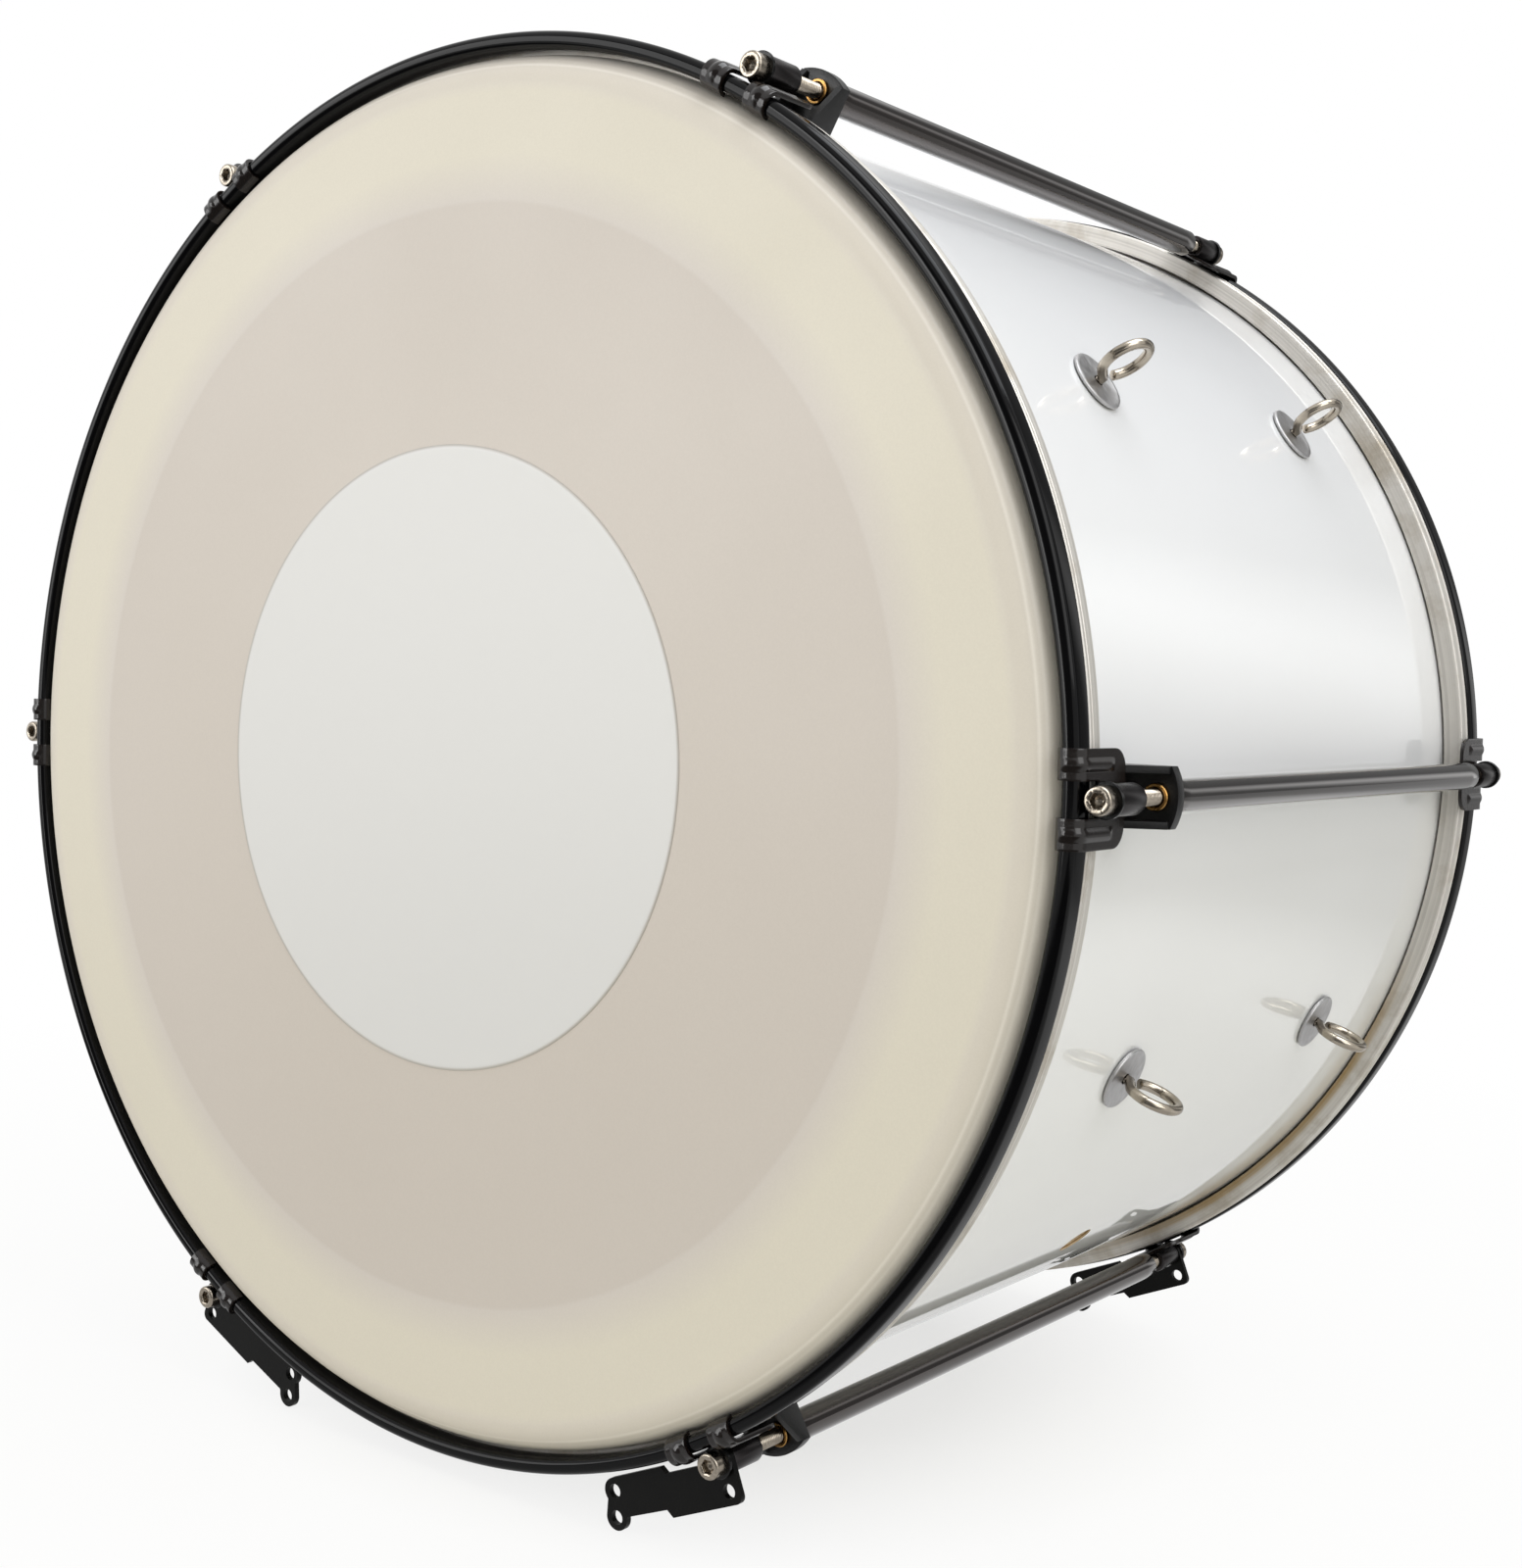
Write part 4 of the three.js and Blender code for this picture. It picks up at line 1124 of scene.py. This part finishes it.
# %% [markdown]
# ## Eyebolts
# A carrying sling hooks into four eyes bent from one wire. The wire leaves the shank at a
# sharp kink, runs round, and stops just short of closing, cut off square. The surface is a
# circle carried along that path; at each bend its plane halves the angle, like a mitre.

# %% Eyebolt sweep
WIRE_RADIUS = 2.0
EYE_RADIUS, EYE_CENTRE = 9.4, 292.8
SHANK_TAIL, NECK_TOP = 265.7, 282.0
RING_START, RING_STOP = 42, 334


def wire_path():
    """The shank and the ring in their plane, as (r, sideways), with the ring's turn from the bottom."""
    turn = np.radians(np.linspace(RING_START, RING_STOP, 73))
    ring = np.stack([EYE_CENTRE - EYE_RADIUS * np.cos(turn), EYE_RADIUS * np.sin(turn)], -1)
    shank = np.array([(SHANK_TAIL, 0), (SHANK_TAIL + 0.4, 0), (270, 0), (276, 0), (NECK_TOP, 0)])
    return np.concatenate([shank, ring])


def wire_surface(path):
    """Ring(i, j) = path_i + radius (cos a_j side_i / cos(half bend) + sin a_j up)."""
    ahead = np.diff(path, axis=0)
    ahead /= np.linalg.norm(ahead, axis=1, keepdims=True)
    before, after = np.vstack([ahead[:1], ahead]), np.vstack([ahead, ahead[-1:]])
    mean = before + after
    mean /= np.linalg.norm(mean, axis=1, keepdims=True)
    stretch = 1 / np.clip(np.sum(mean * after, axis=1), 0.7, 1)
    side = np.stack([-mean[:, 1], mean[:, 0]], -1) * stretch[:, None]
    radius = np.full(len(path), WIRE_RADIUS)
    radius[0] = WIRE_RADIUS - 0.4
    turn = np.linspace(0, 2 * np.pi, 24, endpoint=False)
    flat = path[:, None, :] + (radius[:, None] * np.cos(turn))[..., None] * side[:, None, :]
    lift = radius[:, None] * np.sin(turn)
    rings = np.concatenate([flat, lift[..., None]], -1)
    last = rings[-1].mean(0)
    tip = np.stack([rings[-1] + (last - rings[-1]) * share for share in (0.12, 1.0)])
    tip[..., :2] += 0.18 * ahead[-1]
    start = np.broadcast_to(rings[0].mean(0), rings[0].shape)[None]
    rings = np.concatenate([start, rings, tip])
    return rings.reshape(-1, 3), grid_quads(*rings.shape[:2], False, True)


wire_points, wire_quads = wire_surface(wire_path())
print("eye wire:", len(wire_quads), "faces")

# %% [markdown]
# ### Eyes in their places
# Each eye holds on with a wide washer outside the shell and a nut inside. Both are turned
# about the eye's own axis, which points out from the drum, so their rows are made like a
# screw's and their first two directions are then exchanged. The rings lean a little, as
# they were left when the nuts were tightened.

# %% Eyebolts, washers and nuts
EYES = {"upper": 32.5, "lower": -23.0}
EYE_TWIST = -3.0
EYE_WASHER, SEAT_LOW, NUT_TOP = 12.5, SHELL_SEAT, 271.9
washer_profile = [
    (2.3, SEAT_LOW, 0), (EYE_WASHER - 0.5, SEAT_LOW, 0), (EYE_WASHER, SEAT_LOW + 0.4, 0),
    (EYE_WASHER, SEAT_LOW + 1.1, 0), (EYE_WASHER - 0.3, SEAT_LOW + 1.5, 0),
    (EYE_WASHER - 0.8, SEAT_LOW + 1.6, 0), (EYE_WASHER - 1.9, SEAT_LOW + 1.6, 0),
    (EYE_WASHER - 2.1, SEAT_LOW + 1.5, 0), (3.0, SEAT_LOW + 1.5, 0), (2.3, SEAT_LOW + 1.3, 0),
    (2.3, SEAT_LOW, 0)]
nut_profile = [
    (2.3, NUT_TOP - 4, 0), (3.6, NUT_TOP - 4, 0), (4.0, NUT_TOP - 3.7, 0), (4.62, NUT_TOP - 3.3, 1),
    (4.62, NUT_TOP - 0.6, 1), (4.0, NUT_TOP - 0.2, 0), (3.6, NUT_TOP, 0), (2.3, NUT_TOP, 0),
    (2.3, NUT_TOP - 4, 0)]
eye_rings = {"washer": (washer_profile, 64, "disc"), "nut": (nut_profile, 36, "hexagon")}


def turned_outwards(rows, steps):
    """Lathe work whose axis is the radial direction r, from (radius, height, hexagon) rows."""
    rows = np.array(rows)
    points, quads = turned(rows[:, :2], steps, rows[:, 2])
    return points[:, [1, 0, 2]], quads


for level, angle in EYES.items():
    here = station(angle, "rear")
    tilt = np.radians(EYE_TWIST)
    for side, y in (("front", -EYE_SPACING / 2), ("rear", EYE_SPACING / 2)):
        where = f"{level}_{side}"
        across, lift = wire_points[:, 1], wire_points[:, 2]
        wire = np.stack([wire_points[:, 0], y - across * np.cos(tilt) - lift * np.sin(tilt),
                         -across * np.sin(tilt) + lift * np.cos(tilt)], -1)
        finished(f"eyebolt_{where}_wire", raw_mesh("wire", place(wire, here), wire_quads), nickel,
                 "shell_assembly", "eyebolt_nickel", [f"eyebolt_{where}"], crease=50)
        for kind, (rows, steps, form) in eye_rings.items():
            points, quads = turned_outwards(rows, steps)
            mesh = raw_mesh(kind, place(moved(points, s=y), here), quads)
            finished(f"eyebolt_{where}_{kind}_{form}", mesh, washer_steel, "shell_assembly",
                     "washer_steel", [f"eyebolt_{kind}_{where}"])
print("eyebolts:", 2 * len(EYES))

# %% [markdown]
# ## Camera, floor and light
# The camera stands where the photographer stood: to the right of the front head, a little
# above the drum's middle. Its three axes are given as vectors, and the third is the cross
# product of the other two. A small lens shift slides the picture across the sensor, so the
# drum sits in the frame as in the photo without turning the camera.

# %% Camera
BACK = np.array([0.62957, -0.77521, 0.05197])
UP = np.array([-0.05276, 0.02408, 0.99832])
RIGHT = np.cross(UP, BACK)
camera_data = bpy.data.cameras.new("photo_camera")
camera_data.lens, camera_data.sensor_width = 46.68, 36.0
camera_data.shift_x, camera_data.shift_y = 0.0527, -0.0027
camera_data.clip_start, camera_data.clip_end = 0.05, 100.0
camera = bpy.data.objects.new("photo_camera", camera_data)
bpy.context.scene.collection.objects.link(camera)
turn = Matrix([list(row) for row in np.stack([RIGHT, UP, BACK], -1)]).to_4x4()
camera.matrix_world = Matrix.Translation((0.60013, -0.78208, 0.33393)) @ turn
bpy.context.scene.camera = camera
print("camera: lens", round(camera_data.lens, 2), "mm")

# %% [markdown]
# ### The room
# The room is white wherever the eye, a mirror or a clear film looks at it, but it lights
# the drum only dimly, so the lamps set the level. One plain white world could do both, but
# then the background's level and the light's could not be chosen apart.

# %% Room
def looked_at(tree):
    """1 for a ray that comes from the camera, from a mirror or through glass, and 0 for the rest."""
    path = tree.nodes.new("ShaderNodeLightPath")
    total = path.outputs["Is Camera Ray"]
    for other in ("Is Glossy Ray", "Is Transmission Ray"):
        larger = tree.nodes.new("ShaderNodeMath")
        larger.operation = "MAXIMUM"
        tree.links.new(total, larger.inputs[0])
        tree.links.new(path.outputs[other], larger.inputs[1])
        total = larger.outputs[0]
    return total


def white_light(tree, strength):
    """The output of a white background of one strength."""
    node = tree.nodes.new("ShaderNodeBackground")
    node.inputs["Color"].default_value = (1, 1, 1, 1)
    node.inputs["Strength"].default_value = strength
    return node.outputs[0]


ROOM_LIGHT = 0.45
world = bpy.data.worlds.new("studio")
bpy.context.scene.world = world
world.use_nodes = True
tree = world.node_tree
tree.nodes.clear()
mix = tree.nodes.new("ShaderNodeMixShader")
out = tree.nodes.new("ShaderNodeOutputWorld")
for index, source in enumerate((looked_at(tree), white_light(tree, ROOM_LIGHT), white_light(tree, 1.0))):
    tree.links.new(source, mix.inputs[index])
tree.links.new(mix.outputs[0], out.inputs[0])
print("room light:", ROOM_LIGHT)

# %% [markdown]
# ### The floor's finish
# The floor mixes two shaders: a plain pale surface, which takes the drum's shadow and sends
# light back up, and a white glow that only the eye and mirrors see. The further out, the
# larger the glow's share, so the shadow ends softly and no horizon shows.

# %% Floor
FLOOR_HALF = 12.0


def plane(name, x, y, material):
    """An upward rectangle about the origin, with half sizes x and y, as an object."""
    mesh = bpy.data.meshes.new(name)
    mesh.from_pydata([(-x, -y, 0), (x, -y, 0), (x, y, 0), (-x, y, 0)], [], [(0, 1, 2, 3)])
    mesh.materials.append(material)
    return bpy.data.objects.new(name, mesh)


floor_finish = Finish("floor_pale")
distance = floor_finish.node("VectorMath", {0: floor_finish.place()}, operation="LENGTH").outputs["Value"]
floor_finish.surface(Base_Color=rgb(214, 212, 198), Roughness=0.9, Specular_IOR_Level=0.1)
glow = floor_finish.node("Emission", {"Color": (1, 1, 1, 1), "Strength": 1.0})
fade = floor_finish.ramp(floor_finish.span(distance, 0.0, 1.2), [
    (0.1, (0.7, 0.7, 0.7)), (0.2, (0.92, 0.92, 0.92)), (0.3, (0.95, 0.95, 0.95)), (0.9, (1, 1, 1))])
share = floor_finish.maths("MULTIPLY", fade, looked_at(floor_finish.material.node_tree))
blended = floor_finish.node("MixShader", {0: share, 1: floor_finish.shader, 2: glow})
floor_finish.join(blended, floor_finish.nodes["Material Output"].inputs["Surface"])
floor = plane("floor", FLOOR_HALF, FLOOR_HALF, floor_finish.material)
bpy.context.scene.collection.objects.link(floor)
print("floor:", 2 * FLOOR_HALF, "m across")

# %% [markdown]
# ### Lamps
# Three soft lamps stand round the drum: one on the left for the front head, one on the right
# for the shell, and one above. The pale floor throws enough light back for the underside.

# %% Lamps
def aimed(holder, where, towards, roll=0.0):
    """Puts a lamp or a card in its place, faces it towards a point, and rolls it in degrees."""
    facing = (Vector(towards) - Vector(where)).to_track_quat("-Z", "Y")
    holder.location = where
    holder.rotation_euler = (facing @ Quaternion((0, 0, 1), np.radians(roll))).to_euler()
    bpy.context.scene.collection.objects.link(holder)
    return holder


def lamp(name, where, size, power, tint=(1, 1, 1)):
    """A soft square lamp that faces the drum's middle: its side in metres, its power in watts."""
    light = bpy.data.lights.new(name, "AREA")
    light.shape = "SQUARE"
    light.size = size
    light.energy = power
    light.color = tint
    return aimed(bpy.data.objects.new(name, light), where, (0, 0, AXIS_HEIGHT))


lamp("left_lamp", (-1.8, -2.35, 0.95), 1.6, 31)
lamp("right_lamp", (2.2, -0.8, 1.4), 1.4, 16.5)
lamp("top_lamp", (0.9, 0.0, 2.3), 1.6, 36, (0.93, 0.96, 1.0))
bpy.context.scene.view_settings.view_transform = "Standard"
print("lamps:", len(bpy.data.lights))

# %% [markdown]
# ### Cards for reflections
# A photographer stands cards round a shiny thing to draw its shape. These show only in
# reflections. A dark one on the camera's side and one behind give black enamel and metal
# their depth, and three dim ones lie on the floor: without them the metals and the enamel
# would mirror its white from below. A narrow bright strip in front draws a line along the
# hoops. A bright card behind on the right puts a pale stripe along each tube and a soft
# bright shoulder on the lacquer. Each fades out at its edges, as a lamp's cloth does.

# %% Cards
def card(name, where, towards, width, height, level, soft, roll=0.0):
    """A glowing plane whose share is the smaller of both ways in from its edges, over soft."""
    finish = Finish(name)
    split = finish.node("SeparateXYZ", {"Vector": finish.place()})
    shares = []
    for output, size in ((split.outputs[0], width), (split.outputs[1], height)):
        inward = finish.maths("SUBTRACT", size / 2, finish.maths("ABSOLUTE", output))
        shares.append(finish.maths("DIVIDE", inward, soft, clamp=True))
    glow = finish.node("Emission", {"Color": (1, 1, 1, 1), "Strength": level})
    clear = finish.node("BsdfTransparent")
    blended = finish.node("MixShader", {0: finish.maths("MINIMUM", *shares), 1: clear, 2: glow})
    finish.join(blended, finish.nodes["Material Output"].inputs["Surface"])
    board = aimed(plane(name, width / 2, height / 2, finish.material), where, towards, roll)
    for ray in ("camera", "diffuse", "shadow", "transmission", "volume_scatter"):
        setattr(board, f"visible_{ray}", False)


card("front_card", (-0.6, -3.4, 1.2), (-0.6, 0, 1.2), 8.0, 4.0, 0.2, 0.5)
card("front_strip", (-1.5, -2.9, 1.0), (0, 0, 0.5), 0.35, 2.2, 5.5, 0.08)
card("rear_card", (1.5, 4.0, 1.6), (0.6, 0, 1.2), 9.0, 5.0, 0.2, 0.8)
card("rear_softbox", (1.55, 3.0, 1.08), (0.28, 0, 0.35), 3.4, 0.95, 0.9, 0.4, roll=-50)
card("front_floor_card", (0.2, -1.2, 0.004), (0.2, -1.2, -1.0), 2.6, 1.8, 0.12, 0.12)
card("near_floor_card", (0.1, 0.1, 0.003), (0.1, 0.1, -1.0), 1.2, 1.2, 0.72, 0.25)
card("rear_floor_card", (1.4, 2.6, 0.004), (1.4, 2.6, -1.0), 5.0, 4.2, 0.4, 0.5)
print("materials in all:", len(bpy.data.materials))
